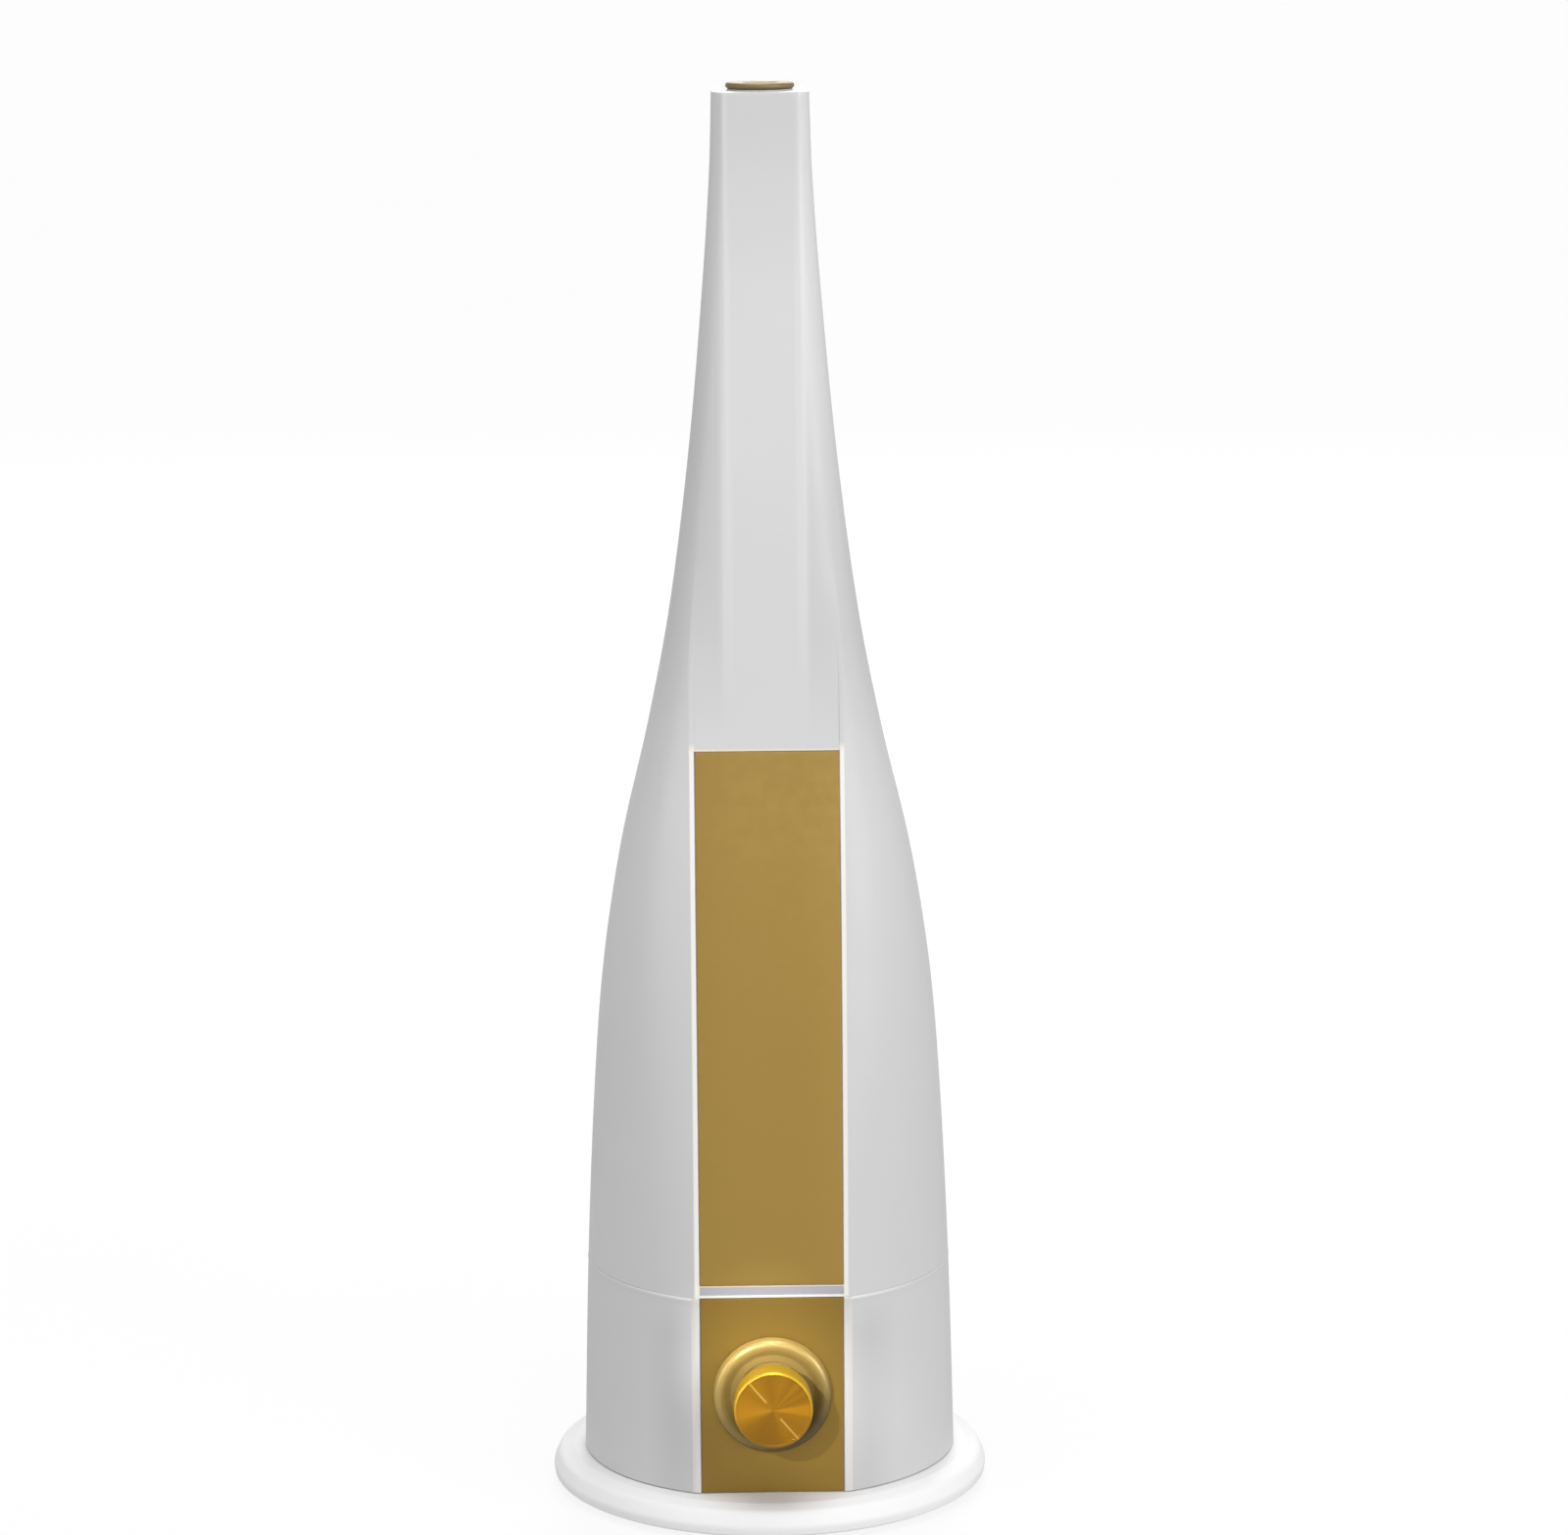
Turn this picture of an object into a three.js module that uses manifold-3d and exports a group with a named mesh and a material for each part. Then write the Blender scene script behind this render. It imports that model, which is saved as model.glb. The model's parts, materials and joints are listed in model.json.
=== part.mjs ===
// A tall, bottle-shaped cool mist humidifier that stands on the floor. From the floor up it is a round
// foot plate, a base unit (electronics below, water basin on top) and a lift-off water tank whose
// shoulders narrow into a neck with a turning mist nozzle. A flat strip runs up the front.
// Millimetres, +Z up. The origin is on the floor under the middle of the foot plate; the front is -Y.

import * as THREE from "three";
import { mergeVertices } from "three/addons/utils/BufferGeometryUtils.js";
import Module from "manifold-3d";

const wasm = await Module();
wasm.setup();

// ---------------------------------------------------------------- driving dimensions

const GAP = 0.3; // clearance kept between neighbouring solids

// Outer form: [height, half-width seen from the front], a smooth curve through these points.
const OUTLINE = [
  [19.9, 106.6], [133, 103.4], [230, 98.7], [303, 92.7], [372, 81.8], [439, 66.1],
  [507, 52.9], [595, 41.3], [683, 33.1], [750, 28.4], [794.1, 27],
];
const BODY_BOTTOM = 19.9;
const SEAM = 133.2; // top edge of the base unit
const SEAM_GAP = 0.4;
const TANK_BOTTOM_EDGE = SEAM + SEAM_GAP;
const NECK_TOP = 794.1;

// The flat front strip: its depth in front of the axis, and its half-width low and high on the body.
const STRIP_DEPTH = 96.3;
const STRIP_HALF_LOW = 42.9;
const STRIP_HALF_HIGH = 21;
const STRIP_TAPER = [485, 555];

const WALL = 3; // tank wall
const HOUSING_WALL = 2.8;

// Gold plates let into the strip.
const PLATE_HALF = 39.75;
const PLATE_THICK = 1.2;
const POCKET_DEPTH = 1.5;
const TANK_PLATE = [140.5, 436.2]; // bottom and top of the upper plate
const CONTROL_PLATE = [BODY_BOTTOM + 0.2, SEAM - 0.2]; // its pocket runs out at the top of the strip

// Foot plate.
const FOOT_PLATE_RADIUS = 125;
const FOOT_PLATE_TOP = 19.4;
const FOOT_PLATE_BOTTOM = 3;
const DECK_UNDERSIDE = 15.4;
const INTAKE_RADIUS = 46;
const FOOT_CIRCLE = 102;
const FOOT_ANGLES = [45, 135, 225, 315];
const FOOT_RADIUS = 10;
const FOOT_PAD_TOP = 6.4;
const SCREW_CIRCLE = 100;
const SCREW_ANGLES = [30, 150, 210, 330];

// Control knob: its axis stands out of the front strip.
const KNOB_Z = 77.5;
const KNOB_RADIUS = 21.9;
const KNOB_FACE = 30.5; // how far the knob's face stands out of the strip
const KNOB_RIM = 15.5; // where the knob's gold cup starts
const POINTER_ANGLE = 135; // degrees from +X, seen from the front
const SHAFT_RADIUS = 3;
const BUSHING_RADIUS = 4.6;

// Water basin.
const BASIN_FLOOR = 100;
const BASIN_SKIN = 2.5;
const LEDGE_TOP = 126.6;
const COLLAR_TOP = 142;
const WELL_RADIUS = 24;

// Tank inside.
const TANK_FLOOR = [146, 149];
const TUBE_RADIUS = 18;
const TUBE_WALL = 1.6;
const TUBE_MOUTH = 21; // outer radius of the tube's wide lower end
const CAP_X = -54; // axis of the filler cap and its valve
const VALVE_TRAVEL = 3;

// Float.
const FLOAT_X = 58;
const FLOAT_Y = 20;

// Fan and its duct up through the basin.
const FAN_Z = [20.3, 44];
const DUCT = { x: [18, 42], y: [50.4, 66], wall: 2 };

// Circuit board beside the fan.
const BOARD = { x: [-92, -46], y: [-38, 38], z: [32, 33.6] };

// Low-voltage socket in the back wall.
const INLET_Z = 45;

// ---------------------------------------------------------------- materials

const finish = (look) => new THREE.MeshStandardMaterial(look);
const plastic = (color, roughness) => finish({ color, roughness, metalness: 0 });
const metal = (color, roughness) => finish({ color, roughness, metalness: 1 });

const WHITE = plastic(0xe6e6e8, 0.28);
const INNER_WHITE = plastic(0xd8dadc, 0.45);
const GOLD_PLATE = metal(0xa78948, 0.45);
const GOLD_RING = metal(0xc4a667, 0.3);
const GOLD_KNOB = metal(0xc08a1c, 0.25);
const STEEL = metal(0xb4b6b8, 0.35);
const ALUMINIUM = metal(0xc8cacc, 0.4);
const RUBBER = plastic(0x2a2a2c, 0.85);
const SILICONE = plastic(0xd9d4cc, 0.6);
const BLACK = plastic(0x1c1c1e, 0.5);
const BOARD_GREEN = plastic(0x1f6b3a, 0.5);
const COPPER = metal(0xb5703c, 0.35);
const CERAMIC = plastic(0xc9c3b4, 0.3);
const FOAM = plastic(0x45484c, 0.95);

// ---------------------------------------------------------------- solids

// A closed solid for joining and cutting, from a closed geometry.
function solid(geometry) {
  const bare = geometry.index ? geometry.toNonIndexed() : geometry.clone();
  bare.deleteAttribute("normal");
  bare.deleteAttribute("uv");
  const merged = mergeVertices(bare, 1e-4);
  return new wasm.Manifold(new wasm.Mesh({
    numProp: 3,
    vertProperties: merged.attributes.position.array,
    triVerts: new Uint32Array(merged.index.array),
  }));
}

function geometryOf(manifold) {
  const mesh = manifold.getMesh();
  const geometry = new THREE.BufferGeometry();
  geometry.setAttribute("position", new THREE.BufferAttribute(mesh.vertProperties, 3));
  geometry.setIndex(new THREE.BufferAttribute(mesh.triVerts, 1));
  geometry.computeVertexNormals();
  return geometry;
}

const join = (...parts) => geometryOf(parts.map(solid).reduce((a, b) => a.add(b)));

const cut = (part, ...tools) => geometryOf(tools.map(solid).reduce((a, b) => a.subtract(b), solid(part)));

const moved = (geometry, x, y, z = 0) => geometry.translate(x, y, z);

// A round bar along Z.
function rod(radius, bottom, top, sides = 20) {
  const bar = new THREE.CylinderGeometry(radius, radius, top - bottom, sides);
  return bar.rotateX(Math.PI / 2).translate(0, 0, (bottom + top) / 2);
}

function block([x0, x1], [y0, y1], [z0, z1]) {
  const box = new THREE.BoxGeometry(x1 - x0, y1 - y0, z1 - z0);
  return box.translate((x0 + x1) / 2, (y0 + y1) / 2, (z0 + z1) / 2);
}

// A turned shape about Z from [radius, height] points. A profile off the axis is closed on itself.
function turned(profile, sides = 32) {
  const points = profile.map(([r, z]) => new THREE.Vector2(r, z));
  const onAxis = profile[0][0] === 0 && profile.at(-1)[0] === 0;
  if (!onAxis) points.push(points[0].clone());
  const area = THREE.ShapeUtils.area(points);
  if (area < 0) points.reverse();
  return new THREE.LatheGeometry(points, sides).rotateX(Math.PI / 2);
}

const ring = (inner, outer, bottom, top, sides = 32) =>
  turned([[inner, bottom], [outer, bottom], [outer, top], [inner, top]], sides);

// Points on an arc of an ellipse in the profile plane, angles in degrees.
function arc([cx, cz], rx, rz, from, to, steps) {
  return Array.from({ length: steps + 1 }, (_, i) => {
    const a = THREE.MathUtils.degToRad(from + ((to - from) * i) / steps);
    return [cx + rx * Math.cos(a), cz + rz * Math.sin(a)];
  });
}

// A solid through a stack of closed outlines that all have the same number of points.
function loft(outlines) {
  const count = outlines[0].length;
  const vertices = outlines.flat().flatMap((p) => p.toArray());
  const faces = [];
  for (let k = 0; k + 1 < outlines.length; k++)
    for (let i = 0; i < count; i++) {
      const a = k * count + i;
      const b = k * count + ((i + 1) % count);
      faces.push(a, b, b + count, a, b + count, a + count);
    }
  const addCap = (outline, start, flip) => {
    const centre = outline.reduce((sum, p) => sum.add(p), new THREE.Vector3()).divideScalar(count);
    const hub = vertices.length / 3;
    vertices.push(...centre.toArray());
    for (let i = 0; i < count; i++) {
      const pair = [start + i, start + ((i + 1) % count)];
      faces.push(hub, ...(flip ? pair.reverse() : pair));
    }
  };
  addCap(outlines[0], 0, true);
  addCap(outlines.at(-1), (outlines.length - 1) * count, false);
  const geometry = new THREE.BufferGeometry();
  geometry.setAttribute("position", new THREE.Float32BufferAttribute(vertices, 3));
  geometry.setIndex(faces);
  return geometry;
}

// A round-sided cable or wire along a curve.
function wire(points, radius, steps, sides = 6) {
  const curve = new THREE.CatmullRomCurve3(points.map((p) => new THREE.Vector3(...p)));
  const outline = new THREE.Shape().absarc(0, 0, radius, 0, 2 * Math.PI);
  return new THREE.ExtrudeGeometry(outline, { steps, extrudePath: curve, curveSegments: sides / 2 });
}

const onCircle = (radius, degrees) => {
  const a = THREE.MathUtils.degToRad(degrees);
  return [radius * Math.cos(a), radius * Math.sin(a)];
};

// ---------------------------------------------------------------- outer form

const smooth = (t) => THREE.MathUtils.smoothstep(t, 0, 1);

// Height-to-half-width curve: cubic Hermite with slopes taken from the neighbouring points.
function halfWidth(z) {
  const last = OUTLINE.length - 1;
  const height = THREE.MathUtils.clamp(z, OUTLINE[0][0], OUTLINE[last][0]);
  const i = Math.min(OUTLINE.findLastIndex((p) => p[0] <= height), last - 1);
  const slope = (k) => {
    const a = OUTLINE[Math.max(k - 1, 0)];
    const b = OUTLINE[Math.min(k + 1, last)];
    return (b[1] - a[1]) / (b[0] - a[0]);
  };
  const [z0, w0] = OUTLINE[i];
  const [z1, w1] = OUTLINE[i + 1];
  const h = z1 - z0;
  const t = (height - z0) / h;
  return (2 * t ** 3 - 3 * t ** 2 + 1) * w0 + (t ** 3 - 2 * t ** 2 + t) * h * slope(i)
    + (3 * t ** 2 - 2 * t ** 3) * w1 + (t ** 3 - t ** 2) * h * slope(i + 1);
}

// How far the flat strip lies in front of the axis.
function stripDepth(z) {
  if (z <= TANK_BOTTOM_EDGE) return STRIP_DEPTH;
  const share = STRIP_DEPTH / halfWidth(TANK_BOTTOM_EDGE);
  const t = (z - TANK_BOTTOM_EDGE) / (NECK_TOP - TANK_BOTTOM_EDGE);
  return halfWidth(z) * (share + (1 - share) * t);
}

const stripHalf = (z) =>
  THREE.MathUtils.lerp(STRIP_HALF_LOW, STRIP_HALF_HIGH, THREE.MathUtils.smoothstep(z, ...STRIP_TAPER));

// Exponent of the section's superellipse: 2 is round, 4 is a square with soft corners.
const squareness = (z) => 2 + 2 * smooth((z - TANK_BOTTOM_EDGE) / 427);

const STRIP_STEPS = 4;
const SIDE_STEPS = 32;

// The body's outline at one height, set in from the outer surface. Counter-clockwise from above.
function section(z, inset = 0, at = z) {
  const n = squareness(z);
  const s = halfWidth(z) - inset;
  const front = stripDepth(z) - inset;
  const half = stripHalf(z) - 0.2 * inset;
  const frontAxis = front / (1 - (half / s) ** n) ** (1 / n);
  const edge = Math.acos((half / s) ** (n / 2));
  const points = [];
  for (let i = 0; i < STRIP_STEPS; i++)
    points.push(new THREE.Vector3(-half + (2 * half * i) / STRIP_STEPS, -front, at));
  for (let i = 0; i < SIDE_STEPS; i++) {
    const a = -edge + ((Math.PI + 2 * edge) * i) / SIDE_STEPS;
    const [c, d] = [Math.cos(a), Math.sin(a)];
    const x = s * Math.sign(c) * Math.abs(c) ** (2 / n);
    const y = (d > 0 ? s : frontAxis) * Math.sign(d) * Math.abs(d) ** (2 / n);
    points.push(new THREE.Vector3(x, y, at));
  }
  return points;
}

const heights = (bottom, top, steps) =>
  Array.from({ length: steps + 1 }, (_, i) => bottom + ((top - bottom) * i) / steps);

const shape = (bottom, top, steps, inset) => loft(heights(bottom, top, steps).map((z) => section(z, inset)));

// A straight-sided version, with the outline of one height all the way up.
const prism = (z, bottom, top, inset) => loft([section(z, inset, bottom), section(z, inset, top)]);

// A sheet that follows the strip: from `out` outside its surface to `deep` inside it.
function stripSheet(half, bottom, top, out, deep, steps) {
  return loft(heights(bottom, top, steps).map((z) => {
    const y = -stripDepth(z);
    return [[-half, y - out], [half, y - out], [half, y + deep], [-half, y + deep]]
      .map(([px, py]) => new THREE.Vector3(px, py, z));
  }));
}

// ---------------------------------------------------------------- scene graph

const group = new THREE.Group();

function frameAt(x, y, z, tilt = 0) {
  const frame = new THREE.Group();
  frame.position.set(x, y, z);
  frame.rotation.x = tilt;
  group.add(frame);
  return frame;
}

function piece(name, geometry, material, parent = group) {
  const mesh = new THREE.Mesh(geometry, material);
  mesh.name = name;
  parent.add(mesh);
  return mesh;
}

// A screw with its head at the origin of its frame, pointing up.
function screw(headRadius, headHeight, radius, length) {
  const head = [[0, -headHeight], [headRadius, -headHeight], [headRadius, 0]];
  return turned([...head, [radius, 0], [radius, length], [0, length]], 12);
}

// ---------------------------------------------------------------- foot plate

function footPlate() {
  const rim = arc([113, 8], FOOT_PLATE_RADIUS - 113, FOOT_PLATE_TOP - 8, 90, 0, 6);
  const lowerRim = arc([120, 8], FOOT_PLATE_RADIUS - 120, 8 - FOOT_PLATE_BOTTOM, 0, -90, 3).slice(1);
  const lip = INTAKE_RADIUS + 4;
  const profile = [
    [INTAKE_RADIUS, FOOT_PLATE_TOP], ...rim, ...lowerRim,
    [117.5, FOOT_PLATE_BOTTOM], [117.5, DECK_UNDERSIDE], [lip, DECK_UNDERSIDE], [lip, 8], [INTAKE_RADIUS, 8],
  ];
  let plate = turned(profile, 40);
  for (const angle of FOOT_ANGLES) {
    const [x, y] = onCircle(FOOT_CIRCLE, angle);
    plate = join(plate, moved(rod(FOOT_RADIUS + 2, FOOT_PLATE_BOTTOM, DECK_UNDERSIDE + 1, 16), x, y));
    plate = cut(plate, moved(rod(FOOT_RADIUS + GAP, FOOT_PLATE_BOTTOM - 1, FOOT_PAD_TOP + GAP, 16), x, y));
  }
  for (const angle of SCREW_ANGLES) {
    const [x, y] = onCircle(SCREW_CIRCLE, angle);
    plate = join(plate, moved(rod(6, 10, DECK_UNDERSIDE + 1, 12), x, y));
    plate = cut(plate, moved(rod(4.2, 9, 13, 12), x, y), moved(rod(2.1, 12, 20, 8), x, y));
  }
  for (const x of [BOARD.x[0] + 5, BOARD.x[1] - 5])
    for (const y of [BOARD.y[0] + 6, BOARD.y[1] - 6])
      plate = join(plate, moved(rod(3, FOOT_PLATE_TOP - 1, BOARD.z[0] - GAP, 8), x, y));
  return plate;
}
piece("foot_plate", footPlate(), WHITE);

FOOT_ANGLES.forEach((angle, i) => {
  const [x, y] = onCircle(FOOT_CIRCLE, angle);
  const side = [[FOOT_RADIUS - 1, 0], [FOOT_RADIUS, 1], [FOOT_RADIUS, FOOT_PAD_TOP]];
  const pad = turned([[0, 0], ...side, [0, FOOT_PAD_TOP]], 16);
  piece(`foot_pad_${i + 1}`, pad, RUBBER).position.set(x, y, 0);
});

SCREW_ANGLES.forEach((angle, i) => {
  const [x, y] = onCircle(SCREW_CIRCLE, angle);
  piece(`plate_screw_${i + 1}`, screw(3.6, 2.2, 1.7, 24), STEEL).position.set(x, y, 12.7);
});

// Slotted cover and foam filter in the air intake under the fan.
function intakeGrille() {
  let grille = turned([[0, 9], [49.4, 9], [49.4, 7.7], [51.5, 7.7], [51.5, 5.5], [0, 5.5]].reverse(), 40);
  grille = cut(grille, rod(60, 7.7, 10));
  grille = join(grille, ring(43, 45.6, 7, 14, 40));
  const slots = [-32, -24, -16, -8, 0, 8, 16, 24, 32].map((x) => {
    const reach = Math.sqrt(40 ** 2 - x ** 2);
    return block([x - 1.9, x + 1.9], [-reach, reach], [4, 12]);
  });
  return cut(grille, ...slots);
}
piece("intake_grille", intakeGrille(), INNER_WHITE);
piece("air_filter", rod(42.4, 8.1, 14, 32), FOAM);

// ---------------------------------------------------------------- base unit shell

function lowerHousing() {
  const shell = cut(
    shape(BODY_BOTTOM, SEAM, 3, 0),
    shape(BODY_BOTTOM - 1, 124, 3, HOUSING_WALL),
    prism(124, 123, 128, 10),
    shape(LEDGE_TOP, SEAM + 1, 1, HOUSING_WALL),
  );
  const posts = SCREW_ANGLES.map((angle) => {
    const [x, y] = onCircle(SCREW_CIRCLE, angle);
    return moved(rod(4.6, BODY_BOTTOM, 42, 12), x, y);
  });
  const holes = SCREW_ANGLES.map((angle) => {
    const [x, y] = onCircle(SCREW_CIRCLE, angle);
    return moved(rod(2, BODY_BOTTOM - 1, 38, 12), x, y);
  });
  return cut(
    join(shell, ...posts),
    ...holes,
    stripSheet(PLATE_HALF + GAP, BODY_BOTTOM - 1, SEAM + 1, 2, POCKET_DEPTH, 1),
    rod(BUSHING_RADIUS + GAP, -5, 30, 16).rotateX(Math.PI / 2).translate(0, -STRIP_DEPTH + 20, KNOB_Z),
    rod(8.3, 90, 110, 24).rotateX(-Math.PI / 2).translate(0, 0, INLET_Z),
  );
}
piece("lower_housing", lowerHousing(), WHITE);

function controlPlate() {
  const plate = stripSheet(PLATE_HALF, ...CONTROL_PLATE, 0, PLATE_THICK, 1);
  const hole = rod(BUSHING_RADIUS + GAP, -5, 5, 16).rotateX(Math.PI / 2).translate(0, -STRIP_DEPTH, KNOB_Z);
  return cut(plate, hole);
}
piece("control_panel", controlPlate(), GOLD_PLATE);

// ---------------------------------------------------------------- knob and potentiometer
// Local frame: z points out of the front strip, y is up.

const knobFrame = frameAt(0, -STRIP_DEPTH, KNOB_Z, Math.PI / 2);

const bezelProfile = [
  [BUSHING_RADIUS + GAP, GAP], [33, GAP], ...arc([29.8, 2.6], 3.2, 4.2, 0, 155, 7), [25.4, 2.2], [24.6, 1.8],
  [BUSHING_RADIUS + GAP, 1.8],
];
piece("knob_bezel", turned(bezelProfile, 40), GOLD_RING, knobFrame);

function hexNut(acrossCorners, bore, bottom, top) {
  return cut(rod(acrossCorners, bottom, top, 6), rod(bore, bottom - 1, top + 1, 16));
}
piece("potentiometer_nut", hexNut(7, BUSHING_RADIUS + GAP, 2.1, 4.4), STEEL, knobFrame);

function potentiometer() {
  const can = join(rod(12, -13.2, -HOUSING_WALL - 0.4, 24), rod(BUSHING_RADIUS, -5, 5.6, 16));
  const tabs = [-5, 0, 5].map((x) => block([x - 1, x + 1], [-16, -11], [-9, -8.2]));
  return cut(join(can, ...tabs), rod(SHAFT_RADIUS + GAP, -10, 6, 16));
}
piece("potentiometer", potentiometer(), STEEL, knobFrame);
piece("power_switch", rod(11, -21, -13.5, 24), BLACK, knobFrame);

const SHAFT_FLAT = 1.7;
const shaft = cut(rod(SHAFT_RADIUS, -9.5, 18.5, 16), block([SHAFT_FLAT, 5], [-5, 5], [7, 20]));
piece("knob_shaft", shaft, ALUMINIUM, knobFrame);

function knobCore() {
  const bore = cut(rod(SHAFT_RADIUS + GAP, 2, 19, 16), block([SHAFT_FLAT + GAP, 5], [-5, 5], [7.2, 20]));
  const grip = turned([[0, 3.2], [17, 3.2], [18, 4.2], [18, KNOB_RIM], [KNOB_RADIUS - 1.6, KNOB_RIM],
    [KNOB_RADIUS - 1.6, KNOB_FACE - 1.6], [0, KNOB_FACE - 1.6]], 32);
  return cut(grip, bore, rod(9.5, 3, 6.5, 20));
}
piece("knob_core", knobCore(), BLACK, knobFrame);

function knobCap() {
  const rim = KNOB_RIM - 0.4;
  const [chamfer, wall] = [1.1, 1.3];
  const inside = [[0, KNOB_FACE - wall], [KNOB_RADIUS - wall, KNOB_FACE - wall], [KNOB_RADIUS - wall, rim]];
  const outside = [
    [KNOB_RADIUS, rim], [KNOB_RADIUS, KNOB_FACE - chamfer],
    [KNOB_RADIUS - chamfer, KNOB_FACE], [0, KNOB_FACE],
  ];
  const cup = turned([...inside, ...outside], 40);
  const pointer = block([9, 19.5], [-0.6, 0.6], [KNOB_FACE - 0.4, KNOB_FACE + 1]);
  return cut(cup, pointer.rotateZ(THREE.MathUtils.degToRad(POINTER_ANGLE)));
}
piece("knob_cap", knobCap(), GOLD_KNOB, knobFrame);

// ---------------------------------------------------------------- water basin

function ductBore(bottom, top) {
  const { x, y, wall } = DUCT;
  return block([x[0] + wall, x[1] - wall], [y[0] + wall, y[1] - wall], [bottom, top]);
}

function basin() {
  const outside = join(
    shape(LEDGE_TOP + GAP, COLLAR_TOP, 1, HOUSING_WALL + 0.5),
    prism(SEAM, BASIN_FLOOR - BASIN_SKIN, LEDGE_TOP + 1, 10.5),
    rod(WELL_RADIUS, 88, BASIN_FLOOR, 32),
    block(DUCT.x, DUCT.y, [BASIN_FLOOR - BASIN_SKIN, 131]),
  );
  const hollow = cut(
    outside,
    shape(130, COLLAR_TOP + 1, 1, HOUSING_WALL + 2.7),
    cut(prism(SEAM, BASIN_FLOOR, 131, 13), block(DUCT.x, DUCT.y, [90, 131.5])),
    rod(WELL_RADIUS - 2.5, 91, BASIN_FLOOR + 1, 32),
    rod(9, 87, 92, 24),
    ductBore(90, 140),
  );
  const clampHoles = CLAMP_ANGLES.map((angle) => {
    const [x, y] = onCircle(CLAMP_CIRCLE, angle);
    return moved(rod(1.7, 87, 90, 10), x, y);
  });
  return cut(
    join(
      hollow,
      moved(rod(2, BASIN_FLOOR - 1, 123, 12), FLOAT_X, FLOAT_Y),
      moved(rod(3.5, BASIN_FLOOR - 1, 114.6, 12), CAP_X, 0),
    ),
    ...clampHoles,
  );
}
const CLAMP_CIRCLE = 17.5;
const CLAMP_ANGLES = [30, 150, 270];
piece("water_basin", basin(), INNER_WHITE);

piece("transducer", rod(10, 86, 87.1, 24), CERAMIC);
const sealProfile = [
  [7.5, 85.2], [13, 85.2], [13, 87.7], [7.5, 87.7], [7.5, 87.4], [10.3, 87.4], [10.3, 85.7], [7.5, 85.7],
];
piece("transducer_seal", turned(sealProfile, 24), RUBBER);

const clampHoles = CLAMP_ANGLES.map((angle) => moved(rod(1.7, 80, 90, 10), ...onCircle(CLAMP_CIRCLE, angle)));
piece("transducer_clamp", cut(ring(6, 22, 82.9, 84.9, 24), ...clampHoles), ALUMINIUM);
CLAMP_ANGLES.forEach((angle, i) => {
  const [x, y] = onCircle(CLAMP_CIRCLE, angle);
  piece(`clamp_screw_${i + 1}`, screw(2.8, 1.6, 1.4, 6.6), STEEL).position.set(x, y, 82.6);
});

// ---------------------------------------------------------------- float

const floatFrame = frameAt(FLOAT_X, FLOAT_Y, 0);
const floatProfile = [[2.5, 101], [8, 101], [9, 102], [9, 110], [8, 111], [2.5, 111]];
piece("float", cut(turned(floatProfile, 24), ring(2.4, 5.2, 100, 104.6, 20)), INNER_WHITE, floatFrame);
piece("float_magnet", ring(2.6, 4.9, 101.2, 104.3, 20), BLACK, floatFrame);
piece("float_clip", cut(rod(4.2, 121.6, 125, 16), rod(2.3, 121, 123.3, 12)), INNER_WHITE, floatFrame);
const switchBody = block([-6, 6], [-2.5, 2.5], [91.5, 97.2]);
piece("float_switch", switchBody, BLACK, floatFrame);

// ---------------------------------------------------------------- fan

// Outline of the scroll: its radius grows evenly round the wheel, then runs straight out to the back.
function scrollShape(inset) {
  const outline = new THREE.Shape();
  const steps = 28;
  for (let i = 0; i <= steps; i++) {
    const turn = i / steps;
    const [x, y] = onCircle(31 + 10 * turn - inset, 40 + turn * 320);
    if (i === 0) outline.moveTo(x, y);
    else outline.lineTo(x, y);
  }
  outline.lineTo(DUCT.x[1] - inset, 50 + inset);
  outline.lineTo(DUCT.x[0] + inset, 50 + inset);
  return outline;
}

function extruded(outline, bottom, top, curveSegments = 12) {
  const bar = new THREE.ExtrudeGeometry(outline, { depth: top - bottom, bevelEnabled: false, curveSegments });
  return bar.translate(0, 0, bottom);
}

const fanScroll = cut(
  extruded(scrollShape(0), FAN_Z[0], FAN_Z[1] - 2),
  extruded(scrollShape(2), FAN_Z[0] + 2, FAN_Z[1]),
  rod(22, FAN_Z[0] - 1, FAN_Z[0] + 3, 24),
);
piece("fan_scroll", fanScroll, BLACK);
piece("fan_lid", cut(extruded(scrollShape(0), FAN_Z[1] - 1.7, FAN_Z[1] + 0.3), rod(4, 40, 50, 16)), BLACK);
piece("fan_motor", cut(rod(13, FAN_Z[1] + 0.6, 54, 24), rod(1.9, 40, 50, 10)), STEEL);

function fanWheel() {
  const blades = Array.from({ length: 12 }, (_, i) =>
    block([19, 27], [-0.6, 0.6], [25, 39.5]).rotateZ((2 * Math.PI * i) / 12));
  return join(rod(28, 38.5, 40.5, 30), ...blades, ring(25, 28, 24, 26, 30), turned([
    [0, 30], [9, 30], [11, 32], [11, 39], [1.5, 39], [1.5, 49], [0, 49],
  ], 16));
}
piece("fan_wheel", fanWheel(), BLACK);

function airDuct() {
  const { x, y, wall } = DUCT;
  const mouth = block([x[0] + wall, x[1] - wall], [y[0] - 1, y[0] + wall + 1], [FAN_Z[0] + 2, FAN_Z[1] - 2]);
  const duct = block(x, y, [FAN_Z[0], BASIN_FLOOR - BASIN_SKIN - GAP]);
  return cut(duct, ductBore(FAN_Z[0] + 2, 98), mouth);
}
piece("air_duct", airDuct(), INNER_WHITE);

// ---------------------------------------------------------------- electronics

piece("circuit_board", block(BOARD.x, BOARD.y, BOARD.z), BOARD_GREEN);
const boardTop = BOARD.z[1] + GAP;

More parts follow.
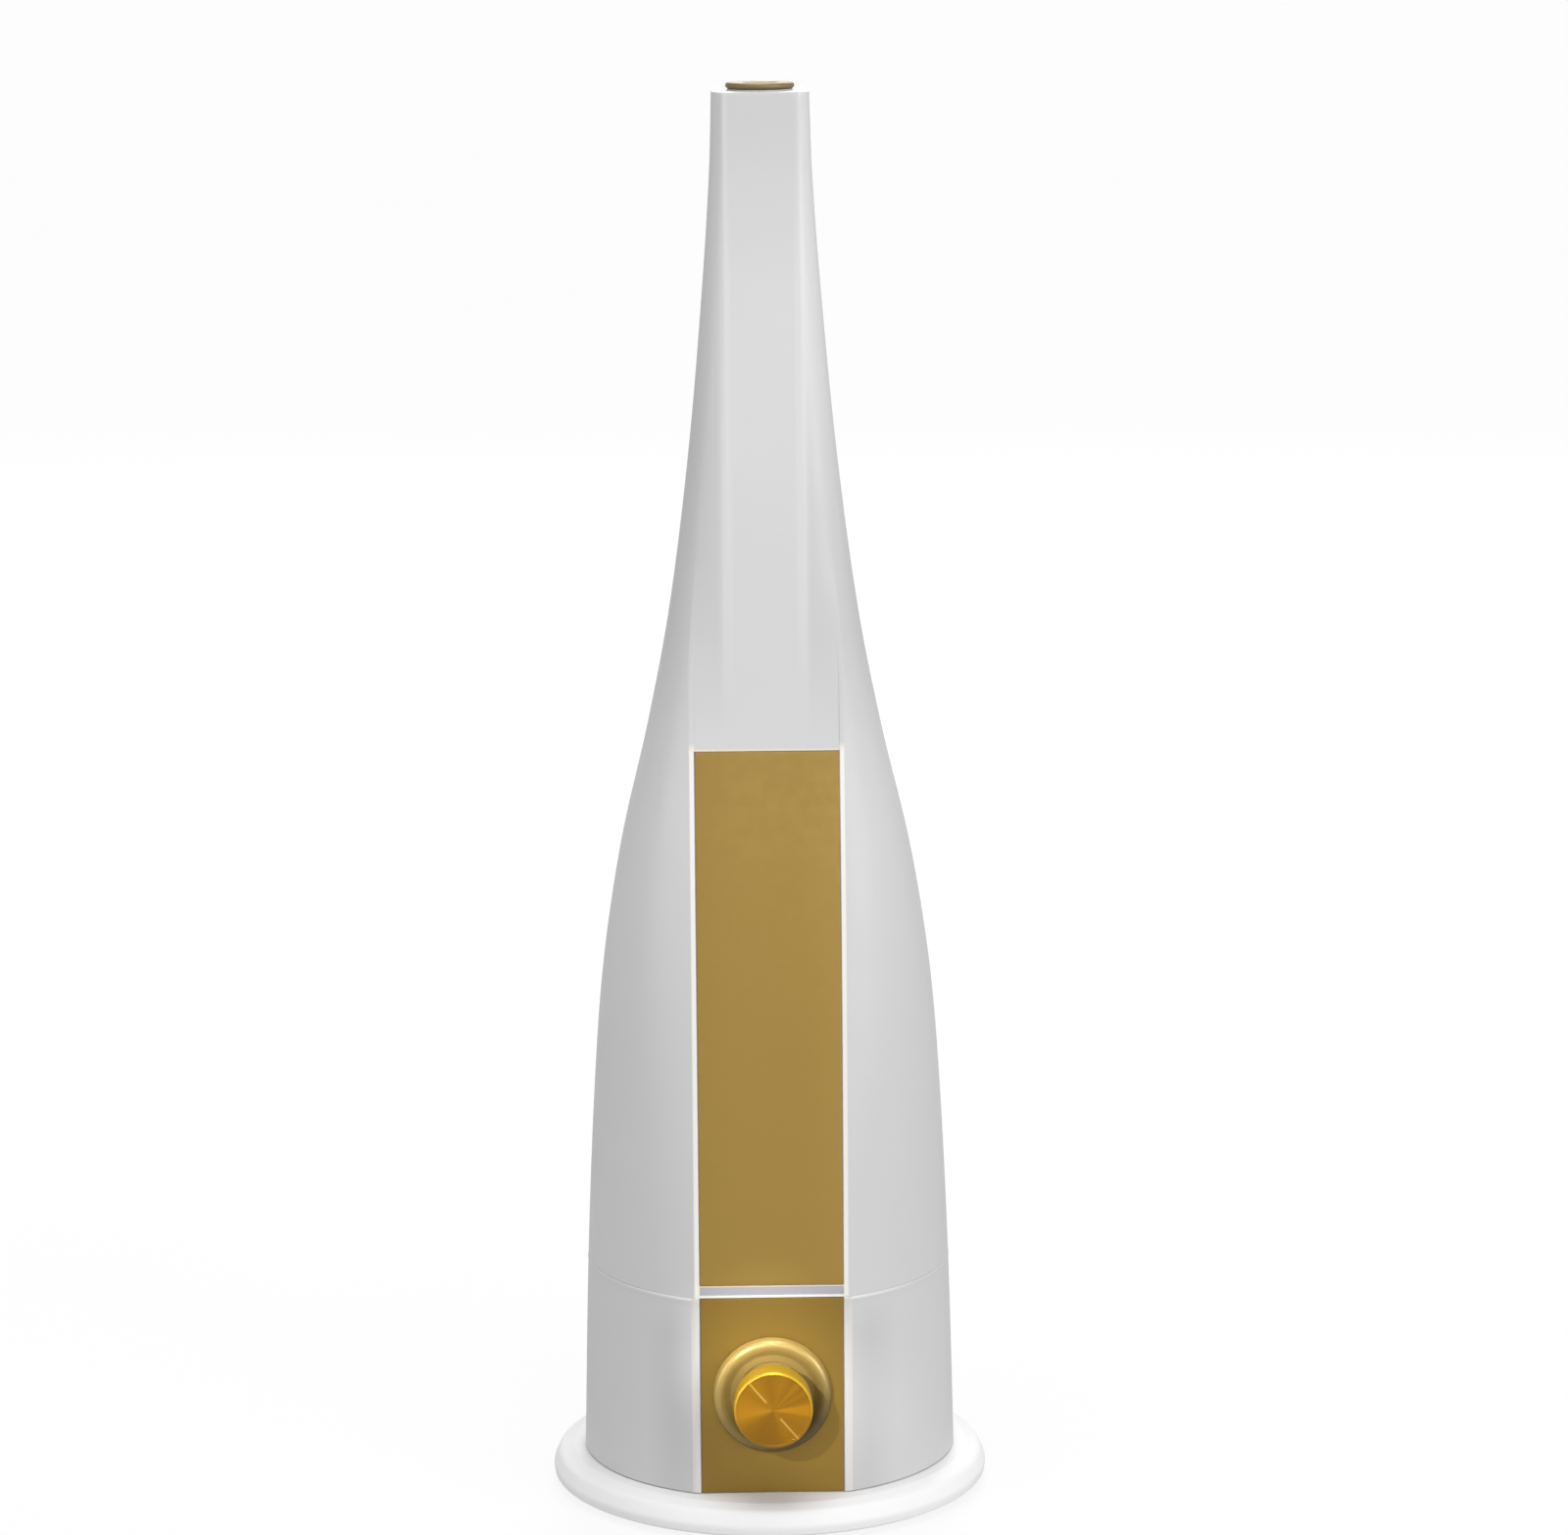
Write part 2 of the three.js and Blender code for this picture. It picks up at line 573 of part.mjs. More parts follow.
function heatSink() {
  const fins = [-88, -83.6, -79.2, -74.8, -70.4, -66].map((x) =>
    block([x, x + 1.4], [-18, 12], [boardTop, 58]));
  return join(block([-88, -64.6], [-18, 12], [boardTop, boardTop + 3]), ...fins);
}
piece("heat_sink", heatSink(), ALUMINIUM);
piece("driver_coil", cut(rod(7, boardTop, 46, 20), rod(2.2, 40, 50, 12)), COPPER).position.set(-54, -26, 0);
[[-56, 2], [-56, 16]].forEach(([x, y], i) => {
  piece(`capacitor_${i + 1}`, rod(5, boardTop, 50, 16), BLACK).position.set(x, y, 0);
});
piece("wire_connector", block([-84, -62], [26, 34], [boardTop, 43]), INNER_WHITE);

function powerInlet() {
  const body = join(rod(8, 90, 104.4, 24), rod(11, 97.5, 102, 24));
  return cut(body, rod(3.2, 95, 106, 16)).rotateX(-Math.PI / 2).translate(0, 0, INLET_Z);
}
piece("power_inlet", powerInlet(), BLACK);
piece("inlet_pin", rod(1.05, 95.3, 103.6, 10).rotateX(-Math.PI / 2).translate(0, 0, INLET_Z), STEEL);

const leads = {
  transducer_lead: [
    [0, 0, 85.6], [0, 0, 78], [-16, 2, 71], [-42, 14, 67], [-62, 26, 65], [-73, 30, 56], [-73, 30, 43.4],
  ],
  control_lead: [
    [0, -87.7, 61], [0, -87, 54.5], [-20, -73, 50], [-39, -46, 48], [-41, -10, 48],
    [-46, 22, 51], [-60, 29, 53], [-67, 30, 50], [-67, 30, 43.4],
  ],
  inlet_lead: [
    [0, 89.6, 45], [0, 83, 45], [-15, 73, 46], [-45, 60, 50], [-72, 44, 54], [-79, 31, 52], [-79, 30, 43.4],
  ],
};
for (const [name, points] of Object.entries(leads)) piece(name, wire(points, 1.2, 14), BLACK);

// ---------------------------------------------------------------- water tank

const TANK_STEPS = 22;

function tankShell() {
  const outside = shape(TANK_BOTTOM_EDGE, NECK_TOP, TANK_STEPS, 0);
  const inside = loft(heights(TANK_BOTTOM_EDGE, NECK_TOP - WALL, TANK_STEPS).map((z, i) =>
    section(z, WALL, i === 0 ? TANK_BOTTOM_EDGE - 1 : z)));
  const pocket = stripSheet(PLATE_HALF + GAP, TANK_PLATE[0] - GAP, TANK_PLATE[1] + GAP, 3, POCKET_DEPTH, 9);
  return cut(outside, inside, pocket, rod(TUBE_RADIUS - TUBE_WALL, NECK_TOP - 8, NECK_TOP + 1, 32));
}
piece("tank_shell", tankShell(), WHITE);
piece("front_panel", stripSheet(PLATE_HALF, ...TANK_PLATE, 0, PLATE_THICK, 9), GOLD_PLATE);

const CAP_NECK = { inner: 21.5, outer: 24.5, bottom: 134 };

function tankFloor() {
  const disc = join(
    shape(...TANK_FLOOR, 1, WALL + GAP),
    moved(rod(CAP_NECK.outer, CAP_NECK.bottom, TANK_FLOOR[0] + 1, 32), CAP_X, 0),
  );
  return cut(
    disc,
    moved(rod(CAP_NECK.inner, CAP_NECK.bottom - 1, TANK_FLOOR[1] + 1, 32), CAP_X, 0),
    rod(TUBE_MOUTH + GAP, 140, 150, 32),
  );
}
piece("tank_floor", tankFloor(), INNER_WHITE);

const TUBE_BOTTOM = 126;
const TUBE_TOP = NECK_TOP - WALL - 3;
const tubeProfile = [
  [TUBE_MOUTH, TUBE_BOTTOM], [TUBE_MOUTH, 151.1], [25, 151.1], [25, 152.6], [TUBE_MOUTH, 152.6],
  [TUBE_RADIUS, 175], [TUBE_RADIUS, TUBE_TOP], [TUBE_RADIUS - TUBE_WALL, TUBE_TOP],
  [TUBE_RADIUS - TUBE_WALL, 175], [TUBE_MOUTH - TUBE_WALL, 152.6], [TUBE_MOUTH - TUBE_WALL, TUBE_BOTTOM],
];
piece("mist_tube", turned(tubeProfile, 28), INNER_WHITE);
piece("tube_gasket", ring(TUBE_MOUTH + GAP, 25, 149.3, 150.8, 28), SILICONE);
const neckGasket = ring(TUBE_RADIUS - TUBE_WALL, TUBE_RADIUS, TUBE_TOP + GAP, NECK_TOP - WALL - GAP, 28);
piece("neck_gasket", neckGasket, SILICONE);

// ---------------------------------------------------------------- mist nozzle

const FLANGE = [NECK_TOP + GAP, NECK_TOP + 0.8];
const sleeveProfile = [
  [14.2, 775], [15.9, 775], [15.9, FLANGE[0]], [17.6, FLANGE[0]], [17.6, FLANGE[1]], [14.2, FLANGE[1]],
];
piece("nozzle_sleeve", turned(sleeveProfile, 32), WHITE);

const HEAD_BOTTOM = NECK_TOP + 1.1;
const HEAD_TOP = 799.3;
const HEAD_RADIUS = 18.8;

// Stadium outline of the mist outlet, off the middle so that turning the head steers the mist.
function outlet(half, radius) {
  const outline = new THREE.Shape();
  outline.absarc(half, -4.5, radius, -Math.PI / 2, Math.PI / 2);
  outline.absarc(-half, -4.5, radius, Math.PI / 2, (3 * Math.PI) / 2);
  return extruded(outline, HEAD_TOP - 8, HEAD_TOP + 4, 6);
}

function nozzleHead() {
  const round = (HEAD_TOP - HEAD_BOTTOM) / 2;
  const edge = arc([HEAD_RADIUS - round, HEAD_TOP - round], round, round, -90, 90, 6);
  const disc = turned([[0, HEAD_BOTTOM], ...edge, [0, HEAD_TOP]], 36);
  return cut(join(disc, ring(12.3, 13.9, 779, HEAD_BOTTOM + 0.5, 28)), outlet(5, 4));
}
piece("nozzle_head", nozzleHead(), GOLD_KNOB);

// ---------------------------------------------------------------- filler cap and valve

const capFrame = frameAt(CAP_X, 0, 0);
const CAP_BOTTOM = 121.7;
const CAP_FLOOR_TOP = 124.4;

function tankCap() {
  const cup = turned([
    [9, CAP_BOTTOM], [27, CAP_BOTTOM], [28, CAP_BOTTOM + 1], [28, 137], [CAP_NECK.outer + 0.6, 137],
    [CAP_NECK.outer + 0.6, 131.4], [21, 131.4], [21, CAP_FLOOR_TOP], [9, CAP_FLOOR_TOP],
  ], 32);
  const spokes = [0, 120, 240].map((degrees) =>
    block([4.4, 9.6], [-1, 1], [CAP_BOTTOM, CAP_FLOOR_TOP]).rotateZ(THREE.MathUtils.degToRad(degrees)));
  return join(cup, ring(3.5, 5.4, CAP_BOTTOM, CAP_FLOOR_TOP, 20), ...spokes);
}
piece("tank_cap", tankCap(), WHITE, capFrame);
piece("cap_gasket", ring(21.5, 24.8, 131.7, 133.7, 28), SILICONE, capFrame);

const plunger = turned([
  [0, 114.9], [6, 114.9], [6, 116.3], [3, 116.3], [3, 129], [12, 129], [12, 130.6], [0, 131.4],
], 24);
piece("valve_plunger", plunger, INNER_WHITE, capFrame);
piece("valve_seal", ring(3 + GAP, 12, CAP_FLOOR_TOP + VALVE_TRAVEL + GAP, 128.7, 24), RUBBER, capFrame);

function springCoil(radius, wireRadius, bottom, top, turns) {
  const steps = turns * 12;
  const points = Array.from({ length: steps + 1 }, (_, i) => {
    const [x, y] = onCircle(radius, (360 * i) / 12);
    return [x, y, bottom + wireRadius + ((top - bottom - 2 * wireRadius) * i) / steps];
  });
  return wire(points, wireRadius, steps);
}
piece("valve_spring", springCoil(4.6, 0.45, 116.6, CAP_BOTTOM - GAP, 3), STEEL, capFrame);

export default group;
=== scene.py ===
"""Looks of a bottle-shaped cool mist humidifier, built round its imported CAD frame.

Lengths are in mm until a mesh is made. X points right, -Y to the front and Z up.
"""

import json
import math

import bmesh
import bpy
import numpy as np
from mathutils import Matrix, Vector


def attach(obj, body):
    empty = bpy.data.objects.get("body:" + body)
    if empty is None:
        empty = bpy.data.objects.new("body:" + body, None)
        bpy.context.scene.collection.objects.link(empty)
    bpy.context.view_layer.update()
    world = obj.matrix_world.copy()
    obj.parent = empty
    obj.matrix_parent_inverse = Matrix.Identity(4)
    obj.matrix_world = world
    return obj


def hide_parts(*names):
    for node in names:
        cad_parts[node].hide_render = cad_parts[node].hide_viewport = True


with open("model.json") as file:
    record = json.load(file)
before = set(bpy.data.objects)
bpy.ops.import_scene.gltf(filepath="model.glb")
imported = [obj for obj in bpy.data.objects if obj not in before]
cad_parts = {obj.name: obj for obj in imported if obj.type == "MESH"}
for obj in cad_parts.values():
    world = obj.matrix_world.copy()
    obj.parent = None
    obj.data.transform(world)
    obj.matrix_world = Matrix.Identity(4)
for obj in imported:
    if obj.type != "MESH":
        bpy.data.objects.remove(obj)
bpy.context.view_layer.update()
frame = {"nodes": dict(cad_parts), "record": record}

MM = 0.001
scene = bpy.context.scene

# ------------------------------------ dimensions shared with the CAD part

# Height and half-width of the body, seen from the front.
OUTLINE = [
    (19.9, 106.6), (133, 103.4), (230, 98.7), (303, 92.7), (372, 81.8), (439, 66.1),
    (507, 52.9), (595, 41.3), (683, 33.1), (750, 28.4), (794.1, 27),
]
BODY_BOTTOM = 19.9
SEAM = 133.26  # top of the base unit
TANK_BOTTOM = 133.33
TANK_EDGE = 133.6  # where the tank's outline starts, above its softened lower edge
NECK_TOP = 794.1
NECK_RIM = 795.0  # the neck's outline goes on unchanged from NECK_TOP to here
SQUARE_RISE = 427  # height above TANK_EDGE over which the outline turns from round to squarish

# Flat front strip, wide beside the plates and narrow in the neck.
STRIP_DEPTH = 96.3
STRIP_HALF_LOW = 42.9
STRIP_HALF_HIGH = 21
STRIP_CHANGE = (462, 545)
RECESS = 1.5  # depth of the plates' pocket

WALL = 3
HOUSING_WALL = 2.8
PLATE_HALF = 39.75
TANK_PLATE = (140.5, 436.2)
POCKET = (TANK_PLATE[0] - 0.3, TANK_PLATE[1] + 0.3)
CONTROL_PLATE = (20.1, 133.0)

# Knob: its height on the strip, its radius, and how far its face and its gold cup's edge stand out of the
# strip. The pointer's angle is in degrees from +X, seen from the front.
KNOB_Z = 77.5
KNOB_RADIUS = 21.9
KNOB_FACE = 30.5
KNOB_RIM = 15.5
POINTER_ANGLE = 130
SHAFT_HOLE = 4.9

# Foot: circles of pads and screws as (radius, degrees from +X).
PADS = (102, (45, 135, 225, 315))
SCREWS = (100, (30, 150, 210, 330))
BOARD_PEGS = [(x, y) for x in (-87, -51) for y in (-32, 32)]

# Inside.
TANK_FLOOR = (146, 149)
NECK_BORE = 16.45  # hole in the neck's top, for the nozzle's sleeve
TUBE_TOP = NECK_TOP - WALL - 3
TUBE_RADIUS, TUBE_BORE = 18, 16.4
CAP_X = -54
FLOAT_AT = (58, 20)
DUCT_X, DUCT_Y, DUCT_WALL = (18, 42), (50.4, 66), 2
INLET_Z = 45

# ------------------------------------ the body's outline


def step(t):
    """A smooth rise from 0 to 1 as t goes from 0 to 1."""
    t = min(max(t, 0.0), 1.0)
    return t * t * (3 - 2 * t)


def half_width(z):
    """The body's half-width seen from the front, a cubic through OUTLINE."""
    last = len(OUTLINE) - 1
    z = min(max(z, OUTLINE[0][0]), OUTLINE[last][0])
    i = min(max(k for k, p in enumerate(OUTLINE) if p[0] <= z), last - 1)

    def slope(k):
        a, b = OUTLINE[max(k - 1, 0)], OUTLINE[min(k + 1, last)]
        return (b[1] - a[1]) / (b[0] - a[0])

    (z0, w0), (z1, w1) = OUTLINE[i], OUTLINE[i + 1]
    h = z1 - z0
    t = (z - z0) / h
    return (
        (2 * t**3 - 3 * t**2 + 1) * w0 + (t**3 - 2 * t**2 + t) * h * slope(i)
        + (3 * t**2 - 2 * t**3) * w1 + (t**3 - t**2) * h * slope(i + 1)
    )


def strip_depth(z):
    """How far the flat front strip lies in front of the axis."""
    if z <= TANK_EDGE:
        return STRIP_DEPTH
    share = STRIP_DEPTH / half_width(TANK_EDGE)
    t = (min(z, NECK_TOP) - TANK_EDGE) / (NECK_TOP - TANK_EDGE)
    return half_width(z) * (share + (1 - share) * t)


def squareness(z):
    """The outline's exponent, seen from above: 2 for the round body, 4 for the squarish neck."""
    return 2 + 2 * step((z - TANK_EDGE) / SQUARE_RISE)


ARC_SAMPLES = 900
FLAT_SAMPLES = 300


def half_outline(z, inset, half):
    """One side of the outline with a flat strip 2 * half wide, as angles from the front and radii.

    The side and the back are a superellipse. Its front half is stretched to meet the strip's edge.
    """
    n = squareness(z)
    s = half_width(z) - inset
    front = strip_depth(z) - inset
    half = min(half - 0.2 * inset, 0.95 * s)  # narrower with the inset, and inside the outline
    front_axis = front / (1 - (half / s) ** n) ** (1 / n)
    a = np.linspace(-math.acos((half / s) ** (n / 2)), math.pi / 2, ARC_SAMPLES)
    c, d = np.cos(a), np.sin(a)
    flat = np.linspace(0, half, FLAT_SAMPLES)[:-1]
    x = np.concatenate([flat, s * np.abs(c) ** (2 / n)])
    side = np.sign(d) * np.abs(d) ** (2 / n) * np.where(d > 0, s, front_axis)
    y = np.concatenate([np.full(len(flat), -front), side])
    return np.arctan2(x, -y), np.hypot(x, y)


# Columns beside the middle of the strip, in bunches at the edges of the neck, the recess and the strip.
STRIP_COLUMNS = np.array([
    4, 8, 12, 16, 18.5, 19.7, 20.4, 21, 21.6, 22.3, 23.5, 26, 30, 34, 38,
    39.9, 40.02, 40.12, 40.22, 40.32, 40.5, 41.4, 42.0, 42.5, 42.9, 43.3, 43.8, 44.5,
])
# The recess's wall, as columns and shares of its depth.
RECESS_EDGE = [(40.02, 1), (40.12, 0.93), (40.22, 0.5), (40.32, 0.1), (40.5, 0)]
SIDE_COLUMNS = 76
ANGLE_SAMPLES = 2400
WALK_SAMPLES = 700


def ring(z, inset=0.0, at=None, recess=0.0):
    """The outline at height z as points (x, y, height), once round from the strip's middle.

    Low on the body the strip is wide and high up it is narrow. In between, one pair of edges fades out as the
    other grows. `at` is the points' height, if not z. `recess` sets the strip back between its borders.
    """
    high = step((z - STRIP_CHANGE[0]) / (STRIP_CHANGE[1] - STRIP_CHANGE[0]))
    angles = np.linspace(0, math.pi, ANGLE_SAMPLES)
    radii = np.zeros_like(angles)
    for half, share in ((STRIP_HALF_LOW, 1 - high), (STRIP_HALF_HIGH, high)):
        if share > 0:
            radii += share * np.interp(angles, *half_outline(z, inset, half))
    soft = 0.55 - 0.15 * high  # half the width of the softened edges

    def point(angle):
        r = np.interp(np.abs(angle), angles, radii)
        return np.stack([r * np.sin(angle), -r * np.cos(angle)], 1)

    def softened(angle):
        reach = soft / np.interp(angle, angles, radii)
        return np.mean([point(angle + k * reach) for k in np.linspace(-1, 1, 9)], axis=0)

    depth = strip_depth(z) - inset
    strip_angles = np.arctan2(STRIP_COLUMNS, depth)
    strip = softened(strip_angles)
    strip[:, 1] += recess * np.interp(STRIP_COLUMNS, *zip(*RECESS_EDGE))
    around = np.linspace(strip_angles[-1], math.pi, WALK_SAMPLES)
    walk = point(around)
    length = np.concatenate([[0], np.cumsum(np.linalg.norm(np.diff(walk, axis=0), axis=1))])
    side = softened(np.interp(np.linspace(0, length[-1], SIDE_COLUMNS + 1)[1:-1], length, around))
    right = np.concatenate([strip, side])
    left = right[::-1] * (-1, 1)
    middle, back = [(0, -depth + recess)], point(np.array([math.pi])) * (0, 1)
    points = np.concatenate([middle, right, back, left])
    height = np.full((len(points), 1), z if at is None else at)
    return np.concatenate([points, height], 1)


def seam_ring(inset, height):
    """The base unit's outline at the seam, drawn at another height."""
    return ring(SEAM, inset, height)


def to_circle(points, radius, height):
    """The outline's points drawn in, each along its own direction, to a circle about the axis."""
    p = points[:, :2]
    p = p / np.linalg.norm(p, axis=1)[:, None] * radius
    return np.concatenate([p, np.full((len(p), 1), height)], 1)


# ------------------------------------ mesh helpers

WELD_DISTANCE = 1e-7  # metres
SHARP = 35  # degrees between two faces from which their edge is sharp
ARC_SHARE = 0.48  # most of a profile's side that one arc takes


def mesh_object(name, vertices, faces, material, sharp=SHARP):
    """A mesh object with outward faces, smooth but for edges sharper than `sharp` degrees."""
    mesh = bpy.data.meshes.new(name)
    mesh.from_pydata([tuple(float(c) * MM for c in v) for v in vertices], [], faces)
    obj = bpy.data.objects.new(name, mesh)
    scene.collection.objects.link(obj)
    tidy(mesh, sharp)
    mesh.materials.append(material)
    return obj


def tidy(mesh, sharp):
    """Joins doubled vertices, turns faces outward and marks sharp edges."""
    bm = bmesh.new()
    bm.from_mesh(mesh)
    bmesh.ops.remove_doubles(bm, verts=bm.verts, dist=WELD_DISTANCE)
    bmesh.ops.recalc_face_normals(bm, faces=bm.faces)
    limit = math.radians(sharp)
    for f in bm.faces:
        f.smooth = True
    for e in bm.edges:
        e.smooth = len(e.link_faces) != 2 or e.calc_face_angle(0) < limit
    bm.to_mesh(mesh)
    bm.free()


def loft(rows, closed=False):
    """Vertices and faces through rows of points that each go once round.

    Closed joins the last row to the first. Otherwise both ends are capped.
    """
    rows = [np.asarray(r, float) for r in rows]
    n = len(rows[0])
    vertices = list(np.concatenate(rows))
    faces = []
    spans = len(rows) if closed else len(rows) - 1
    for k in range(spans):
        a, b = k * n, ((k + 1) % len(rows)) * n
        faces += [(a + i, a + (i + 1) % n, b + (i + 1) % n, b + i) for i in range(n)]
    if not closed:
        faces.append(tuple(range(n - 1, -1, -1)))
        faces.append(tuple((len(rows) - 1) * n + i for i in range(n)))
    return vertices, faces


def rounded(points, steps=4, closed=False):
    """A profile of (r, z) or (r, z, radius) points with its corners turned into arcs of that radius."""
    out = []
    count = len(points)
    for i, point in enumerate(points):
        p = np.array(point[:2], float)
        radius = point[2] if len(point) > 2 else 0
        at_end = not closed and i in (0, count - 1)
        if radius <= 0 or at_end:
            out.append(p)
            continue
        before = np.array(points[(i - 1) % count][:2], float) - p
        after = np.array(points[(i + 1) % count][:2], float) - p
        u, v = before / np.linalg.norm(before), after / np.linalg.norm(after)
        angle = math.acos(max(-1.0, min(1.0, float(u @ v))))
        longest = ARC_SHARE * min(np.linalg.norm(before), np.linalg.norm(after))
        reach = min(radius / math.tan(angle / 2), longest)
        r = reach * math.tan(angle / 2)
        centre = p + (u + v) / np.linalg.norm(u + v) * r / math.sin(angle / 2)
        start, end = p + u * reach - centre, p + v * reach - centre
        turn = math.atan2(start[0] * end[1] - start[1] * end[0], float(start @ end))
        for k in range(steps + 1):
            t = turn * k / steps
            out.append(centre + np.array([
                start[0] * math.cos(t) - start[1] * math.sin(t),
                start[0] * math.sin(t) + start[1] * math.cos(t),
            ]))
    return out


def lathe(profile, sides=96, steps=4):
    """Turns a closed profile about Z. One with its ends on the axis is left open there."""
    on_axis = profile[0][0] == 0 and profile[-1][0] == 0
    points = rounded(profile, steps, closed=not on_axis)
    angles = [2 * math.pi * i / sides for i in range(sides)]
    vertices, rows = [], []
    for r, z in points:
        if r < 1e-6:
            rows.append([len(vertices)] * sides)
            vertices.append((0, 0, z))
        else:
            rows.append([len(vertices) + i for i in range(sides)])
            vertices += [(r * math.cos(a), r * math.sin(a), z) for a in angles]
    faces = []
    count = len(rows)
    for k in range(count - 1 if on_axis else count):
        a, b = rows[k], rows[(k + 1) % count]
        for i in range(sides):
            j = (i + 1) % sides
            face = tuple(dict.fromkeys((a[i], a[j], b[j], b[i])))
            if len(face) > 2:
                faces.append(face)
    return vertices, faces


def rod(radius, bottom, top, sides=64, bevel=0.0):
    """A solid cylinder about Z."""
    return lathe([(0, bottom), (radius, bottom, bevel), (radius, top, bevel), (0, top)], sides)


def flat_ring(inner, outer, bottom, top, edge=0.2, sides=96):
    """A flat ring about Z with its edges rounded by `edge`."""
    corners = [(inner, bottom), (outer, bottom), (outer, top), (inner, top)]
    return lathe([(*corner, edge) for corner in corners], sides)


def placed(shape, x=0, y=0, z=0, matrix=None):
    """The shape turned by the matrix, then moved."""
    vertices, faces = shape
    move = Matrix.Translation((x, y, z)) @ (matrix or Matrix.Identity(4))
    return [tuple(move @ Vector(v)) for v in vertices], faces


TO_FRONT = Matrix.Rotation(math.pi / 2, 4, "X")  # Z turned to -Y
TO_BACK = Matrix.Rotation(-math.pi / 2, 4, "X")  # Z turned to +Y


def on_knob_axis(shape):
    """A shape turned about Z, set on the knob's axis with its heights counted out from the strip."""
    return placed(shape, 0, -STRIP_DEPTH, KNOB_Z, TO_FRONT)


def on_socket_axis(shape):
    """The same on the socket's axis, with its heights counted back from the body's axis."""
    return placed(shape, 0, 0, INLET_Z, TO_BACK)


def turned(shape, degrees):
    """The shape turned about Z."""
    return placed(shape, matrix=Matrix.Rotation(math.radians(degrees), 4, "Z"))


def on_circle(radius, turns):
    """Places on a circle about the axis, at each of `turns` in degrees from +X."""
    return [(radius * math.cos(math.radians(turn)), radius * math.sin(math.radians(turn))) for turn in turns]


def merged(*shapes):
    """Several shapes as one, not joined to each other."""
    vertices, faces = [], []
    for v, f in shapes:
        offset = len(vertices)
        vertices += [tuple(p) for p in v]
        faces += [tuple(i + offset for i in face) for face in f]
    return vertices, faces


def block_rows(x, y, z, radius, steps=3):
    """Rounded rectangles over the ranges x and y, one at each height of z."""
    corners = []
    for cx, cy, start in [(x[1], y[0], -90), (x[1], y[1], 0), (x[0], y[1], 90), (x[0], y[0], 180)]:
        ox = cx - radius if cx == x[1] else cx + radius
        oy = cy - radius if cy == y[1] else cy + radius
        for k in range(steps + 1):
            a = math.radians(start + 90 * k / steps)
            corners.append((ox + radius * math.cos(a), oy + radius * math.sin(a)))
    return [np.array([(px, py, h) for px, py in corners]) for h in z]


def rounded_block(x, y, z, radius, steps=3):
    """A block whose upright edges have that radius."""
    return loft(block_rows(x, y, z, radius, steps))


def carve(obj, cutters, sharp):
    """Cuts closed shapes out of a mesh object and keeps the result as its mesh."""
    for k, shape in enumerate(cutters):
        cutter = mesh_object(f"cutter_{k}", *shape, obj.data.materials[0])
        modifier = obj.modifiers.new("cut", "BOOLEAN")
        modifier.operation = "DIFFERENCE"
        modifier.solver = "EXACT"
        modifier.object = cutter
        evaluated = obj.evaluated_get(bpy.context.evaluated_depsgraph_get())
        result = bpy.data.meshes.new_from_object(evaluated)
        obj.modifiers.clear()
        old = obj.data
        obj.data = result
        bpy.data.meshes.remove(old)
        bpy.data.objects.remove(cutter)
    tidy(obj.data, sharp)
    return obj


def piece(name, shape, body, material, stands_for=(), sharp=SHARP, cutters=()):
    """A visible piece that rides a body and stands for those CAD nodes, with the cutters taken out of it."""
    obj = mesh_object(name, *shape, material, sharp)
    if cutters:
        carve(obj, cutters, sharp)
    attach(obj, body)
    if stands_for:
        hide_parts(*stands_for)
    return obj


# ------------------------------------ materials


